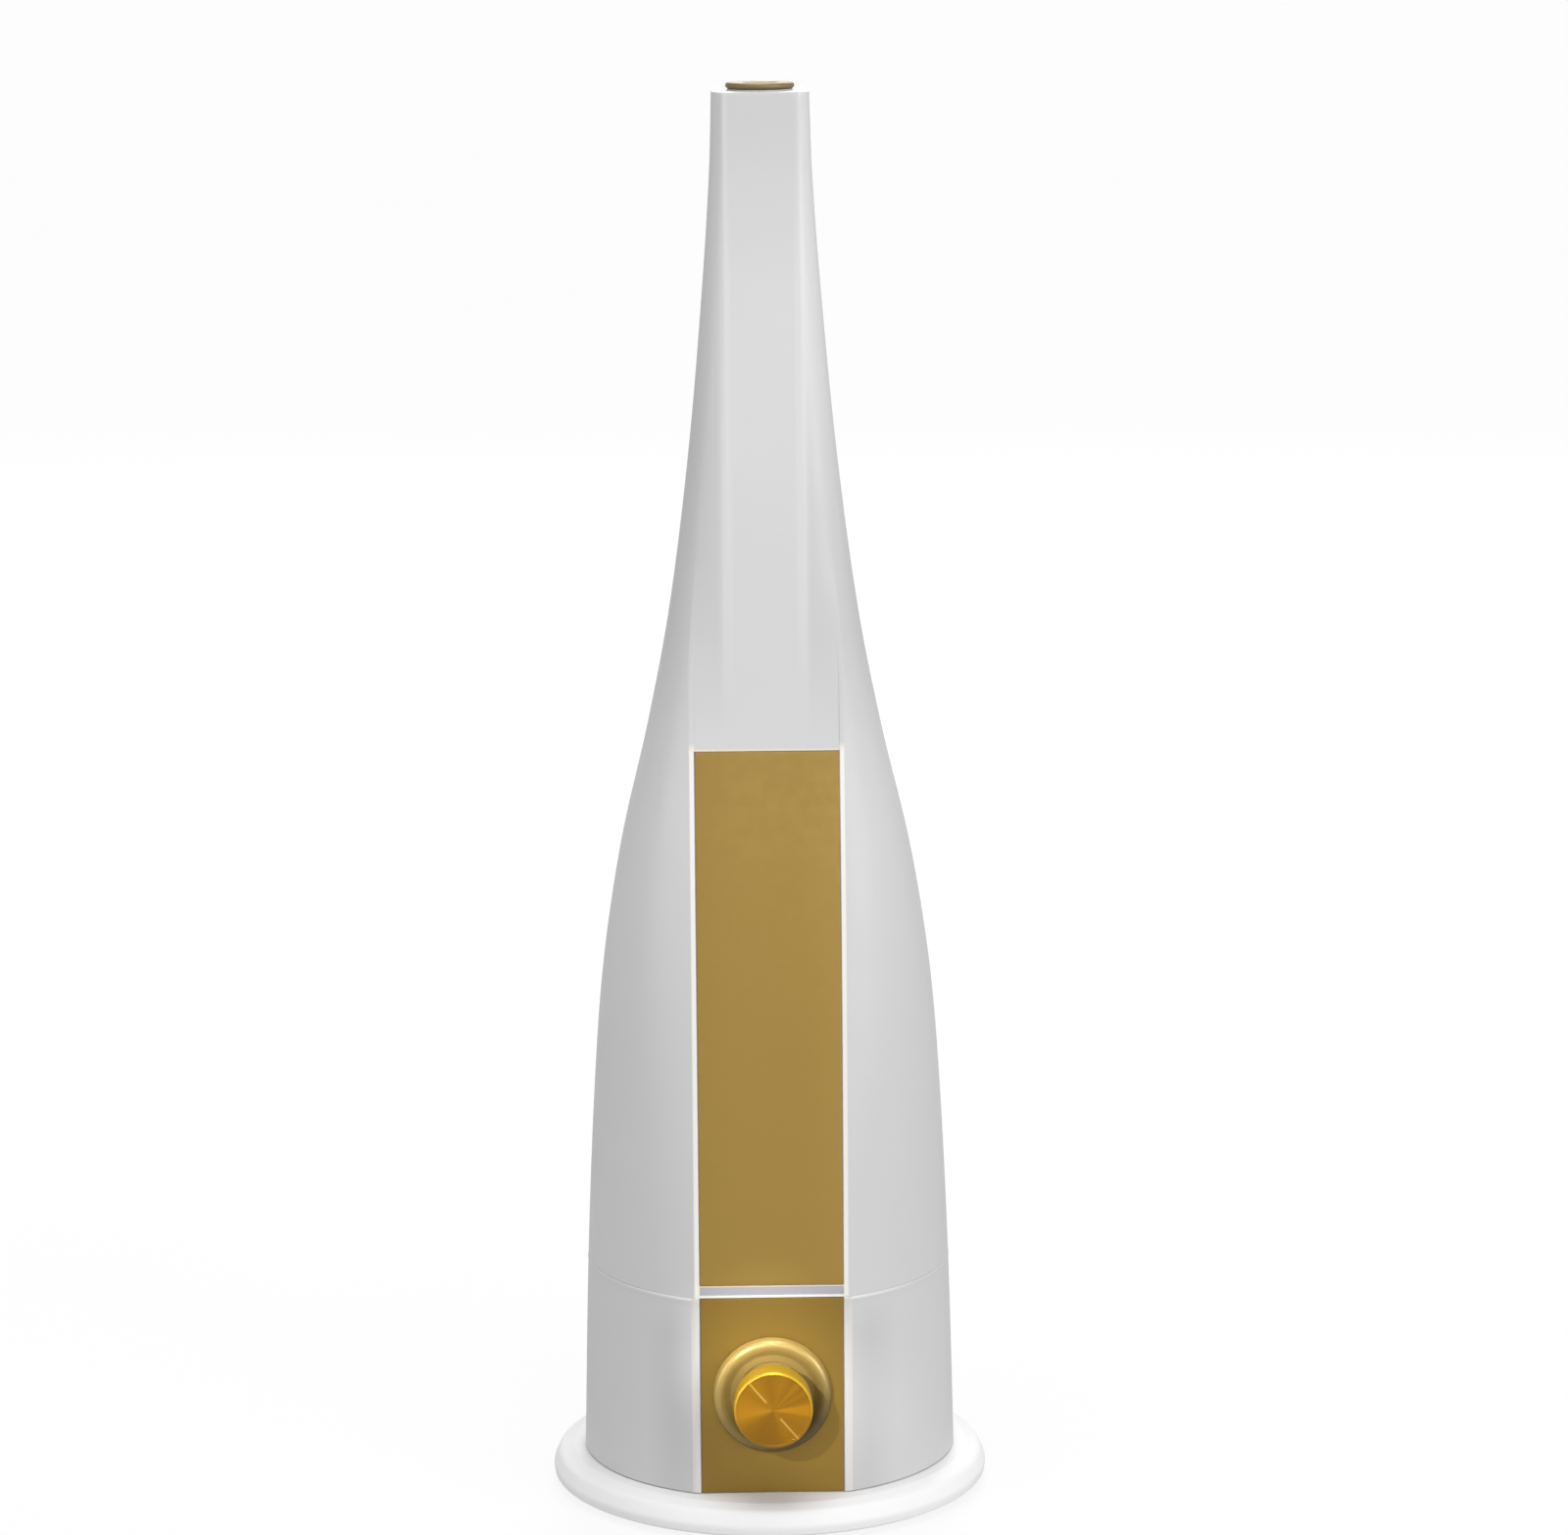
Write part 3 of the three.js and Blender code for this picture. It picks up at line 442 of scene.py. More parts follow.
class Nodes:
    """Short-hand for one material's node tree. Every texture runs on object coordinates, in metres."""

    def __init__(self, name):
        self.material = bpy.data.materials.new(name)
        self.material.use_nodes = True
        self.tree = self.material.node_tree
        self.tree.nodes.clear()
        output = self.tree.nodes.new("ShaderNodeOutputMaterial")
        self.shader = self.tree.nodes.new("ShaderNodeBsdfPrincipled")
        self.link(self.shader.outputs["BSDF"], output.inputs["Surface"])
        self.place = self.tree.nodes.new("ShaderNodeTexCoord").outputs["Object"]

    def link(self, a, b):
        self.tree.links.new(a, b)

    def set(self, **values):
        """Uniform values straight on the shader's sockets."""
        for key, value in values.items():
            self.shader.inputs[key.replace("_", " ")].default_value = value

    def feed(self, socket, value):
        """Links a node's output to the socket, or sets a plain value on it."""
        if isinstance(value, bpy.types.NodeSocket):
            self.link(value, socket)
        else:
            socket.default_value = value

    def node(self, kind, **inputs):
        made = self.tree.nodes.new(kind)
        for key, value in inputs.items():
            self.feed(made.inputs[key.replace("_", " ")], value)
        return made

    def stretched(self, scale):
        return self.node("ShaderNodeMapping", Vector=self.place, Scale=scale).outputs["Vector"]

    def noise(self, size_mm, detail=3, vector=None):
        """Noise from 0 to 1 whose features are about size_mm across."""
        made = self.node(
            "ShaderNodeTexNoise", Vector=vector or self.place, Scale=1000 / size_mm, Detail=detail,
            Roughness=0.55,
        )
        return made.outputs["Fac"]

    def spread(self, value, low, high, from_low=0.3, from_high=0.7):
        """`value` between from_low and from_high drawn out to low and high, and held there past both."""
        made = self.node(
            "ShaderNodeMapRange", Value=value, From_Min=from_low, From_Max=from_high, To_Min=low, To_Max=high,
        )
        return made.outputs["Result"]

    def blend(self, amount, a, b):
        """Colour a where amount is 0 and colour b where it is 1."""
        made = self.tree.nodes.new("ShaderNodeMix")
        made.data_type = "RGBA"
        for index, value in ((0, amount), (6, a), (7, b)):  # the factor and the two colour sockets
            self.feed(made.inputs[index], value)
        return made.outputs[2]

    def bump(self, height, depth_mm, normal=None):
        made = self.node("ShaderNodeBump", Height=height, Distance=depth_mm * MM, Strength=1.0)
        if normal is not None:
            self.link(normal, made.inputs["Normal"])
        return made.outputs["Normal"]

    def maths(self, operation, a, b=0.0):
        made = self.tree.nodes.new("ShaderNodeMath")
        made.operation = operation
        for socket, value in zip(made.inputs, (a, b)):
            self.feed(socket, value)
        return made.outputs[0]

    def vector_maths(self, operation, a):
        made = self.tree.nodes.new("ShaderNodeVectorMath")
        made.operation = operation
        self.link(a, made.inputs[0])
        return made

    def apart(self):
        """The object coordinates one by one, in mm."""
        made = self.node("ShaderNodeSeparateXYZ", Vector=self.place)
        return [self.maths("MULTIPLY", made.outputs[axis], 1000.0) for axis in "XYZ"]

    def front_box(self, x, z, fades):
        """1 in a box on the front, whose |x| and height lie in the ranges x and z, and 0 well outside it.

        `fades` are the mm over which the inner, outer, lower and upper edges die away outside those ranges.
        """
        across, along, up = self.apart()
        across = self.maths("ABSOLUTE", across)
        inner, outer, lower, upper = fades
        inside = self.spread(along, 1, 0, -1, 0)
        for value, low, high, start, end in (
            (across, 0, 1, x[0] - inner, x[0]),
            (across, 1, 0, x[1], x[1] + outer),
            (up, 0, 1, z[0] - lower, z[0]),
            (up, 1, 0, z[1], z[1] + upper),
        ):
            inside = self.maths("MULTIPLY", inside, self.spread(value, low, high, start, end))
        return inside

    def finish(self, colour=None, roughness=None, normal=None):
        for name, socket in (("Base Color", colour), ("Roughness", roughness), ("Normal", normal)):
            if socket is not None:
                self.link(socket, self.shader.inputs[name])
        return self.material


def shade(tint, factor):
    """The tint, made lighter or darker by that factor, as a colour with alpha."""
    return (*(min(c * factor, 1.0) for c in tint), 1)


def moulded(name, tint, roughness, grain_mm=2.2, depth_mm=0.0012, drift=0.03, specular=0.3, painted_tones=()):
    """Moulded plastic: faint flow marks in colour and gloss, and a very shallow surface ripple.

    The painted tones are boxes on the front in other colours, for painted highlights and painted shade: (x,
    z, fades, colour).
    """
    n = Nodes(name)
    n.set(IOR=1.5, Specular_IOR_Level=specular)
    colour = n.blend(n.spread(n.noise(110, 2), 0, 1), shade(tint, 1 - drift), shade(tint, 1 + drift / 2))
    # Boxes of painted highlight and painted shade over the plastic's own colour.
    for *box, painted_colour in painted_tones:
        colour = n.blend(n.front_box(*box), colour, shade(painted_colour, 1))
    rough = n.spread(n.noise(30, 3), roughness * 0.9, roughness * 1.12)
    waves = n.bump(n.noise(24, 1), depth_mm * 4)
    return n.finish(colour, rough, n.bump(n.noise(grain_mm, 2), depth_mm, waves))


def anodised(
    name, tint, roughness, grain=(1, 1, 14), depth_mm=0.0025, drift=0.07, metallic=1.0, painted_height_shade=None,
):
    """Anodised sheet: fine lines along one direction, with slow changes of tone.

    The last argument, (low, high, factor), is painted shade by height: the colour goes over to factor times
    itself between those heights.
    """
    n = Nodes(name)
    n.set(Metallic=metallic)
    lines = n.noise(0.6, 2, vector=n.stretched(grain))
    tone = n.blend(n.spread(n.noise(45, 2), 0, 1), shade(tint, 1 - drift), shade(tint, 1 + drift))
    # Painted shade by height.
    if painted_height_shade:
        low, high, factor = painted_height_shade
        tone = n.blend(n.spread(n.apart()[2], 0, 1, low, high), tone, shade(tint, factor))
    colour = n.blend(n.spread(lines, 0, 0.25), tone, shade(tint, 0.8))
    rough = n.spread(n.noise(6, 3), roughness * 0.88, roughness * 1.14)
    return n.finish(colour, rough, n.bump(lines, depth_mm))


LINE_START = (5.4, 6.8)  # a painted highlight along a groove across a face fades in between these radii
RIM_HIGHLIGHT_RISE = (-9, 12)  # a painted highlight on a rim grows between these heights from the centre
RIM_EDGE, MARK_EDGE = 0.1, 0.12  # half the width over which the painted highlights on a rim and along a groove fade


def spun(
    name, tint, roughness, anisotropy, axis, centre=(0, 0, 0), groove_mm=0.22, depth_mm=0.0016,
    streaks=0.14, metallic=1.0, painted_rays=(), rim=None, line=None,
):
    """Turned metal: rings about the piece's own axis, and highlights drawn out across them.

    The ray pairs (turn, factor) are painted highlights and painted shade: they lighten or darken the colour
    by direction from the centre.
    `rim` is (radius, colour), a painted highlight from that radius outward and stronger toward the top.
    `line` is (degrees, half width, colour), for a painted highlight along a groove across the face.
    """
    n = Nodes(name)
    n.set(Metallic=metallic, Anisotropic=anisotropy)
    tangent = n.tree.nodes.new("ShaderNodeTangent")
    tangent.direction_type = "RADIAL"
    tangent.axis = axis
    n.link(tangent.outputs["Tangent"], n.shader.inputs["Tangent"])
    u, v = [
        n.maths("SUBTRACT", value, middle)
        for letter, value, middle in zip("XYZ", n.apart(), centre) if letter != axis
    ]
    length = n.maths("SQRT", n.maths("ADD", n.maths("MULTIPLY", u, u), n.maths("MULTIPLY", v, v)))
    rings = n.node("ShaderNodeTexNoise", Scale=1 / groove_mm, Detail=2.0)
    rings.noise_dimensions = "1D"
    n.link(length, rings.inputs["W"])
    tone = n.blend(n.spread(n.noise(14, 3), 0, 1), shade(tint, 0.96), shade(tint, 1.04))
    colour = n.blend(n.spread(rings.outputs["Fac"], 0, streaks), tone, shade(tint, 0.55))
    # Painted highlights and painted shade by direction from the centre.
    if painted_rays:
        turn = n.spread(n.maths("ARCTAN2", v, u), 0, 1, -math.pi, math.pi)
        ramp = n.node("ShaderNodeValToRGB", Fac=turn)
        elements = ramp.color_ramp.elements
        while len(elements) < len(painted_rays):
            elements.new(0.5)
        for element, (at, factor) in zip(elements, painted_rays):
            element.position = at
            element.color = shade((factor / 2,) * 3, 1)  # a ramp stops at 1, so it holds half the factor
        lit = n.vector_maths("MULTIPLY", colour)
        n.link(ramp.outputs["Color"], lit.inputs[1])
        double = n.vector_maths("SCALE", lit.outputs["Vector"])
        double.inputs["Scale"].default_value = 2.0
        colour = double.outputs["Vector"]
    # A painted highlight along the pointer groove, fading out near the hub.
    if line:
        degrees, half, groove_highlight = line
        a = math.radians(degrees)
        off = n.maths("SUBTRACT", n.maths("MULTIPLY", u, math.sin(a)), n.maths("MULTIPLY", v, math.cos(a)))
        near = n.spread(n.maths("ABSOLUTE", off), 1, 0, half - MARK_EDGE, half + MARK_EDGE)
        hub = n.spread(length, 0, 1, *LINE_START)
        colour = n.blend(n.maths("MULTIPLY", near, hub), colour, shade(groove_highlight, 1))
    # A painted highlight on the face's rim, brighter toward the top.
    if rim:
        start, rim_highlight = rim
        outside = n.spread(length, 0, 1, start - RIM_EDGE, start + RIM_EDGE)
        edge = n.maths("MULTIPLY", outside, n.spread(v, 0.1, 1, *RIM_HIGHLIGHT_RISE))
        colour = n.blend(edge, colour, shade(rim_highlight, 1))
    rough = n.spread(n.noise(40, 1), roughness * 0.92, roughness * 1.1)
    return n.finish(colour, rough, n.bump(rings.outputs["Fac"], depth_mm))


def rubber(name, tint, roughness=0.75):
    """Rubber, silicone or foam: a dull skin with dusty patches and a fine grain."""
    n = Nodes(name)
    n.set(Specular_IOR_Level=0.3)
    colour = n.blend(n.spread(n.noise(5, 4), 0, 1), shade(tint, 0.85), shade(tint, 1.3))
    dusty = n.spread(n.noise(1.5, 3), roughness * 0.85, min(roughness * 1.15, 1))
    return n.finish(colour, dusty, n.bump(n.noise(0.25, 2), 0.012))


def plain_metal(name, tint, roughness, grain=(1, 1, 8)):
    """Bare metal, drawn or rolled along one direction."""
    return anodised(name, tint, roughness, grain, depth_mm=0.003, drift=0.05)


# Tones painted on the shells' front as painted highlights, painted reflections and painted shade: (|x| range,
# height range, fades, colour).
EDGE = (0.4, 0.4, 0.4, 0.4)
SHELL_PAINTED_LIGHT = [
    ((45, 55), (19, 110), (0.4, 16, 0.4, 22), (0.478, 0.478, 0.483)),  # painted shade beside the control plate
    ((43.2, 54), (131.8, 133.1), (0.4, 30, 0.4, 1), (0.64, 0.64, 0.645)),  # painted highlight on the lip along the seam
    ((40.1, 44.6), (19.2, 133.1), EDGE, (0.58, 0.565, 0.55)),  # painted highlight on the border of the control plate
    ((40.1, 42.5), (133.5, 436.8), (0.4, 0.6, 0.4, 4.4), (0.76, 0.735, 0.70)),  # painted highlight on the tank plate's border
    ((-0.8, 43.1), (436.7, 437.2), EDGE, (0.74, 0.67, 0.55)),  # painted highlight on its border on top
    ((-0.8, 39.8), (134.8, 139.3), EDGE, (0.42, 0.415, 0.455)),  # painted shade on the band between the plates
    ((-0.8, 39.8), (139.7, 140.4), EDGE, (0.70, 0.60, 0.42)),  # painted highlight, a warm line over the band
    ((-0.8, 42.6), (133.2, 134.4), EDGE, (0.72, 0.70, 0.62)),  # painted highlight on the lip under the band
    ((26, 90), (500, 600), (4, 1, 60, 120), (0.495, 0.495, 0.50)),  # painted shade on the shoulders
    ((18.5, 22.5), (520, 700), (1.5, 1.5, 60, 90), (0.568, 0.568, 0.573)),  # painted highlights on the edges of the neck's front
    ((-0.8, 18), (780, 800), (0.4, 3, 90, 1), (0.495, 0.495, 0.50)),  # painted shade on the front of the neck near the top
]
# Painted highlights and painted shade on turned metal by direction, as shares of a turn and factors: wedges
# on the knob's face, and the ring's top lit and its lower half shaded.
KNOB_PAINTED_GLINTS = [
    (0.0, 1.3), (0.03, 1.34), (0.055, 1.05), (0.10, 0.8), (0.17, 0.7), (0.27, 0.76), (0.33, 0.98),
    (0.40, 0.9), (0.465, 0.98), (0.48, 1.34), (0.52, 1.36), (0.535, 1.0), (0.56, 0.82), (0.585, 1.0),
    (0.605, 0.8), (0.63, 1.08), (0.655, 0.82), (0.70, 0.95), (0.77, 0.82), (0.84, 1.0), (0.90, 0.95),
    (1.0, 1.3),
]
RING_PAINTED_LIGHT = [
    (0.0, 0.78), (0.08, 0.54), (0.2, 0.32), (0.3, 0.2), (0.42, 0.22), (0.5, 0.46), (0.6, 0.8), (0.72, 1.06),
    (0.86, 1.12), (1.0, 0.76),
]
KNOB_CENTRE = (0, -STRIP_DEPTH, KNOB_Z)

WHITE = moulded("white_gloss_shell", (0.545, 0.545, 0.55), 0.42, drift=0.015, painted_tones=SHELL_PAINTED_LIGHT)
WHITE_FOOT = moulded("white_gloss_foot", (0.76, 0.76, 0.765), 0.5, drift=0.01, specular=0.2)
INNER = moulded("inner_white_plastic", (0.66, 0.67, 0.68), 0.45, drift=0.04)
# Painted shade by height: the tank plate's gold darker toward its top, the control plate's darker toward its
# bottom.
GOLD_SHEET = anodised(
    "gold_sheet_tank", (0.345, 0.218, 0.042), 0.5, drift=0.012, metallic=0.35, painted_height_shade=(250, 430, 0.9),
)
# The control plate's gold is a darker copy of the tank plate's: painted shade, which the knob spot lights
# back up.
GOLD_CONTROL_SHADED = anodised(
    "gold_sheet_control_shaded", (0.242, 0.145, 0.017), 0.46, drift=0.06, metallic=0.35, painted_height_shade=(30, 95, 1.05),
)
# The ring and the knob carry painted highlights and painted shade by direction, the knob also a painted
# highlight on its rim and along its pointer groove.
GOLD_RING = spun(
    "gold_ring", (0.44, 0.305, 0.088), 0.3, 0.0, "Y", KNOB_CENTRE, groove_mm=2, depth_mm=0.0004,
    streaks=0.03, metallic=0.28, painted_rays=RING_PAINTED_LIGHT,
)
GOLD_KNOB = spun(
    "gold_knob_spun_painted_light", (0.352, 0.158, 0.0025), 0.34, 0.0, "Y", KNOB_CENTRE, groove_mm=1.1, depth_mm=0.0006,
    streaks=0.1, metallic=0.55, painted_rays=KNOB_PAINTED_GLINTS, rim=(KNOB_RADIUS - 1.1, (0.62, 0.40, 0.02)),
    line=(POINTER_ANGLE, 0.55, (0.60, 0.36, 0.06)),
)
GOLD_NOZZLE = spun("gold_nozzle", (0.215, 0.16, 0.075), 0.55, 0.2, "Z", streaks=0.08, metallic=0.6)
STEEL = plain_metal("steel_plain", (0.55, 0.56, 0.57), 0.35)
ALUMINIUM = plain_metal("aluminium_bare", (0.66, 0.67, 0.68), 0.38)
COPPER = plain_metal("copper_winding", (0.62, 0.30, 0.14), 0.32, grain=(1, 1, 30))
RUBBER = rubber("rubber_black", (0.018, 0.018, 0.02))
SILICONE = rubber("silicone_milky", (0.60, 0.58, 0.54), 0.5)
BLACK = moulded("black_moulded", (0.022, 0.022, 0.024), 0.42, drift=0.2)
# Bronze plastic of the knob's core: its own colour, made dark to stand also for painted shade between the
# ring and the gold cup.
BRONZE_AND_SHADE = moulded("knob_bronze_and_shade", (0.20, 0.125, 0.03), 0.45, drift=0.1)
BOARD = moulded("board_green", (0.015, 0.09, 0.035), 0.35, grain_mm=1.2, depth_mm=0.01, drift=0.3)
CERAMIC = moulded("ceramic_disc", (0.55, 0.52, 0.44), 0.3, drift=0.1)
FOAM = rubber("foam_dark", (0.05, 0.055, 0.06), 0.95)

# ------------------------------------ water tank


# The band under the tank's plate, as heights and depths, and the trace of the recess above it.
BAND = [(134.1, 0), (134.5, 0.35), (135.0, 1.3), (139.6, 0.25), (POCKET[0] - 0.3, 0.2)]
TRACE_DEPTH = 0.45
TRACE_FADE = (448, 510)


def tank_recess(z):
    """How far the strip lies behind its border: the band, then the plate's pocket, then the fading trace."""
    low, high = POCKET
    if z < low - 0.05:
        return float(np.interp(z, *zip(*BAND)))
    if z <= high + 0.05:
        return RECESS
    return TRACE_DEPTH * (1 - step((z - TRACE_FADE[0]) / (TRACE_FADE[1] - TRACE_FADE[0])))


def tank_shape():
    """The tank's shell, as rows up the outside, over the neck's rim and down the inside."""
    low, high = POCKET
    levels = sorted(
        {134.1, 134.3, 134.5, 134.7, 135.0, 136.5, 138, 139.3, low - 0.3, low - 0.12, low, low + 0.3}
        | {high - 0.3, high, high + 0.12, high + 0.35}
        | {round(z, 2) for z in np.linspace(145, 430, 48)}
        | {round(z, 2) for z in np.linspace(441, NECK_TOP - 1, 84)}
    )
    lower_edge = ((0.12, TANK_BOTTOM), (0.02, 133.45), (0, 133.8))
    rows = [ring(TANK_EDGE, inset, at) for inset, at in lower_edge]
    rows += [ring(z, recess=tank_recess(z)) for z in levels]
    rim = ((0.04, 0.4), (0.12, 0.15), (0.35, 0.02), (0.6, 0))
    rows += [ring(NECK_TOP, inset, NECK_RIM - down) for inset, down in rim]
    inner_edge = ring(NECK_TOP, 4.5, NECK_RIM)
    rows += [
        inner_edge,
        to_circle(inner_edge, 18.0, NECK_RIM),
        to_circle(inner_edge, 16.8, NECK_RIM - 0.1),
        to_circle(inner_edge, NECK_BORE, NECK_RIM - 0.5),
        to_circle(inner_edge, NECK_BORE, NECK_TOP - WALL),
        to_circle(inner_edge, 18.2, NECK_TOP - WALL),
    ]
    rows += [ring(z, WALL) for z in np.linspace(NECK_TOP - WALL, 150, 30)]
    rows += [ring(TANK_EDGE, WALL, z) for z in (146, 140, 134)]
    rows += [ring(TANK_EDGE, WALL - 0.2, 133.55), ring(TANK_EDGE, WALL - 0.7, TANK_BOTTOM)]
    return loft(rows, closed=True)


piece("tank_body", tank_shape(), "tank", WHITE, ["tank_shell"], sharp=28)


def strip_plate(bottom, top, rows, face=0.25, back=1.45):
    """A thin plate with softened edges, whose face and back lie that far behind the strip."""
    thick = back - face
    section = [
        (-1, 0.7), (-0.9975, 0.28), (-0.9925, 0.06), (-0.985, 0), (-0.5, 0), (0, 0), (0.5, 0), (0.985, 0),
        (0.9925, 0.06), (0.9975, 0.28), (1, 0.7), (1, thick), (0, thick), (-1, thick),
    ]
    levels = [(bottom, 0.7), (bottom + 0.1, 0.28), (bottom + 0.3, 0.06), (bottom + 0.6, 0)]
    levels += [(z, 0) for z in np.linspace(bottom + 4, top - 4, rows)]
    levels += [(top - 0.6, 0), (top - 0.3, 0.06), (top - 0.1, 0.28), (top, 0.7)]
    outlines = []
    for z, drop in levels:
        y = -strip_depth(z) + face
        outlines.append([(x * PLATE_HALF, y + max(d, min(drop, thick)), z) for x, d in section])
    return loft(outlines)


piece(
    "gold_plate_tank", strip_plate(*TANK_PLATE, 50), "tank", GOLD_SHEET, ["front_panel"],
    sharp=50,
)

# ------------------------------------ base unit


def housing_shape():
    """The base unit's shell, as rows up the outside, over its upper edge and ledge, and down the inside."""
    lower_edge = ((0.8, BODY_BOTTOM), (0.3, BODY_BOTTOM + 0.12), (0.05, 20.4))
    rows = [ring(BODY_BOTTOM, inset, at, RECESS) for inset, at in lower_edge]
    rows += [ring(z, recess=RECESS) for z in [21.2, *np.linspace(26, 128, 21), 130]]
    lip = ((-0.3, 1.7), (-0.26, 1.0), (-0.12, 0.35), (0.1, 0.03), (0.3, 0))
    rows += [ring(SEAM, inset, SEAM - down, RECESS - inset) for inset, down in lip]
    rows += [
        seam_ring(HOUSING_WALL - 0.5, SEAM), seam_ring(HOUSING_WALL, SEAM - 0.5),
        seam_ring(HOUSING_WALL, 127.2), seam_ring(HOUSING_WALL + 0.6, 126.6),
        seam_ring(9.5, 126.6), seam_ring(10, 126.1), seam_ring(10, 124), seam_ring(HOUSING_WALL, 124),
    ]
    rows += [ring(z, HOUSING_WALL) for z in (110, 80, 50)]
    rows += [ring(BODY_BOTTOM, HOUSING_WALL, z) for z in (22, BODY_BOTTOM)]
    return loft(rows, closed=True)


shaft_hole = on_knob_axis(rod(SHAFT_HOLE, -10, 12, 32))
screw_post = lathe([(2, 20), (4.6, 20), (4.6, 42, 0.6), (2, 42)], 24)
piece(
    "base_body", housing_shape(), "base", WHITE, ["lower_housing"], sharp=28,
    cutters=[shaft_hole, on_socket_axis(rod(8.3, 90, 112, 64))],
)
piece(
    "base_screw_posts", merged(*(placed(screw_post, *spot) for spot in on_circle(*SCREWS))), "base", WHITE,
)
piece(
    "gold_plate_control", strip_plate(*CONTROL_PLATE, 6), "base", GOLD_CONTROL_SHADED,
    ["control_panel"], sharp=50, cutters=[shaft_hole],
)

# Foot plate, a thick disc with a rounded rim and a hollow underside.
foot_profile = [
    (46, 19.4, 0.6), (90, 19.4, 0.3), (93, 19.72, 0.5), (113, 19.4, 4), (121.5, 16.9, 5), (125, 9, 6),
    (124.2, 4.2, 2), (121.8, 3, 1.2), (117.5, 3, 0.6), (117.5, 15.4, 2), (50, 15.4, 1), (50, 8, 0.5),
    (46, 8, 0.5),
]
pad_cup = lathe([(0, 6.7), (10.3, 6.7), (10.3, 3.1), (12, 3.1, 0.4), (12, 16), (0, 16)], 48)
screw_boss = lathe([(2.1, 13), (4.2, 13), (4.2, 10), (6, 10, 0.4), (6, 16), (2.1, 16)], 32)
board_peg = rod(3, 19, 31.7, 20)
foot_details = [placed(pad_cup, *spot) for spot in on_circle(*PADS)]
foot_details += [placed(screw_boss, *spot) for spot in on_circle(*SCREWS)]
foot_details += [placed(board_peg, *spot) for spot in BOARD_PEGS]
piece(
    "foot_disc", merged(lathe(foot_profile, 192, 6), *foot_details), "base", WHITE_FOOT,
    ["foot_plate"],
)

pad = lathe([
    (0, 0), (6.5, 0), (6.5, 0.5, 0.3), (8, 0.5, 0.3), (8, 0), (9.4, 0, 0.6), (10, 1.2, 0.5), (10, 6.4, 0.4),
    (0, 6.4),
], 64)
for k, spot in enumerate(on_circle(*PADS), 1):
    piece(f"rubber_foot_{k}", placed(pad, *spot), "base", RUBBER, [f"foot_pad_{k}"])


# The foot's screws: the height of a head, and of the face that it bears on.
HEAD_HEIGHT = 2.2
HEAD_SEAT = 12.7


def screw_shape(head, shank, length, pitch=1.1):
    """A pan-head screw pointing up, its head below the origin, with threads as a row of ridges."""
    profile = [
        (0, -HEAD_HEIGHT), (head * 0.7, -HEAD_HEIGHT, 1.2), (head, -HEAD_HEIGHT * 0.45, 0.8), (head, 0, 0.2),
        (shank, 0),
    ]
    core = shank * 0.82
    for k in range(int((length - 2.5) / pitch)):
        z = 1 + k * pitch
        profile += [(core, z), (shank, z + pitch / 2)]
    profile += [(core, length - 1.5), (0, length)]
    return lathe(profile, 32, 3)


def cross_recess(size, depth):
    """Two crossed slots cut up into the screw's head."""
    half = size * 0.22
    heights = (-HEAD_HEIGHT - 1, -HEAD_HEIGHT + depth)
    slot = rounded_block((-size, size), (-half, half), heights, size * 0.1, 2)
    return [slot, turned(slot, 90)]


for k, spot in enumerate(on_circle(*SCREWS), 1):
    piece(
        f"base_screw_{k}", placed(screw_shape(3.6, 1.7, 24), *spot, HEAD_SEAT), "base", STEEL,
        [f"plate_screw_{k}"], cutters=[placed(c, *spot, HEAD_SEAT) for c in cross_recess(2, 1.2)],
    )

# ------------------------------------ knob

ring_profile = [
    (SHAFT_HOLE, 0.4), (33.2, 0.4, 0.2), (33.2, 2.0, 1.2), (32.2, 4.8, 2.6), (29.6, 6.4, 3.5), (26.8, 5.4, 3),
    (23.6, 3.2, 3), (19.2, 2.3, 0.5), (19, 1.5), (SHAFT_HOLE, 1.5),
]
piece(
    "knob_ring", on_knob_axis(lathe(ring_profile, 160, 7)), "base", GOLD_RING, ["knob_bezel"],
    sharp=60,
)
cup_profile = [
    (0, KNOB_FACE - 0.3), (19.9, KNOB_FACE - 0.3, 0.15), (20.15, KNOB_FACE - 0.02, 0.1),
    (20.8, KNOB_FACE, 0.3), (KNOB_RADIUS, KNOB_FACE - 1.1, 0.4), (KNOB_RADIUS, KNOB_RIM - 0.4, 0.3),
    (20.6, KNOB_RIM - 0.4), (20.6, KNOB_FACE - 1.3), (0, KNOB_FACE - 1.3),
]
groove = rounded_block((6, 19.2), (-0.4, 0.4), (KNOB_FACE - 0.6, KNOB_FACE + 1), 0.35)
piece(
    "knob_gold_cup", on_knob_axis(lathe(cup_profile, 128, 5)), "knob", GOLD_KNOB, ["knob_cap"],
    sharp=40, cutters=[on_knob_axis(turned(groove, POINTER_ANGLE + turn)) for turn in (0, 180)],
)
core_profile = [
    (3.3, 6.5), (9.5, 6.5), (9.5, 3.2), (17, 3.2, 0.6), (18, 4.6, 0.6), (18, KNOB_RIM), (20.3, KNOB_RIM),
    (20.3, KNOB_FACE - 1.6), (3.3, KNOB_FACE - 1.6),
]
piece("knob_dark_core", on_knob_axis(lathe(core_profile, 96)), "knob", BRONZE_AND_SHADE, ["knob_core"])

# ------------------------------------ mist nozzle

# The head's disc, the skirt under it that turns in the sleeve, and the sleeve's flange on the neck.
DISC_BOTTOM, DISC_TOP, DISC_RADIUS = NECK_RIM + 0.75, 799.3, 19
SKIRT_BOTTOM = 779
FLANGE = (NECK_RIM + 0.1, NECK_RIM + 0.55)

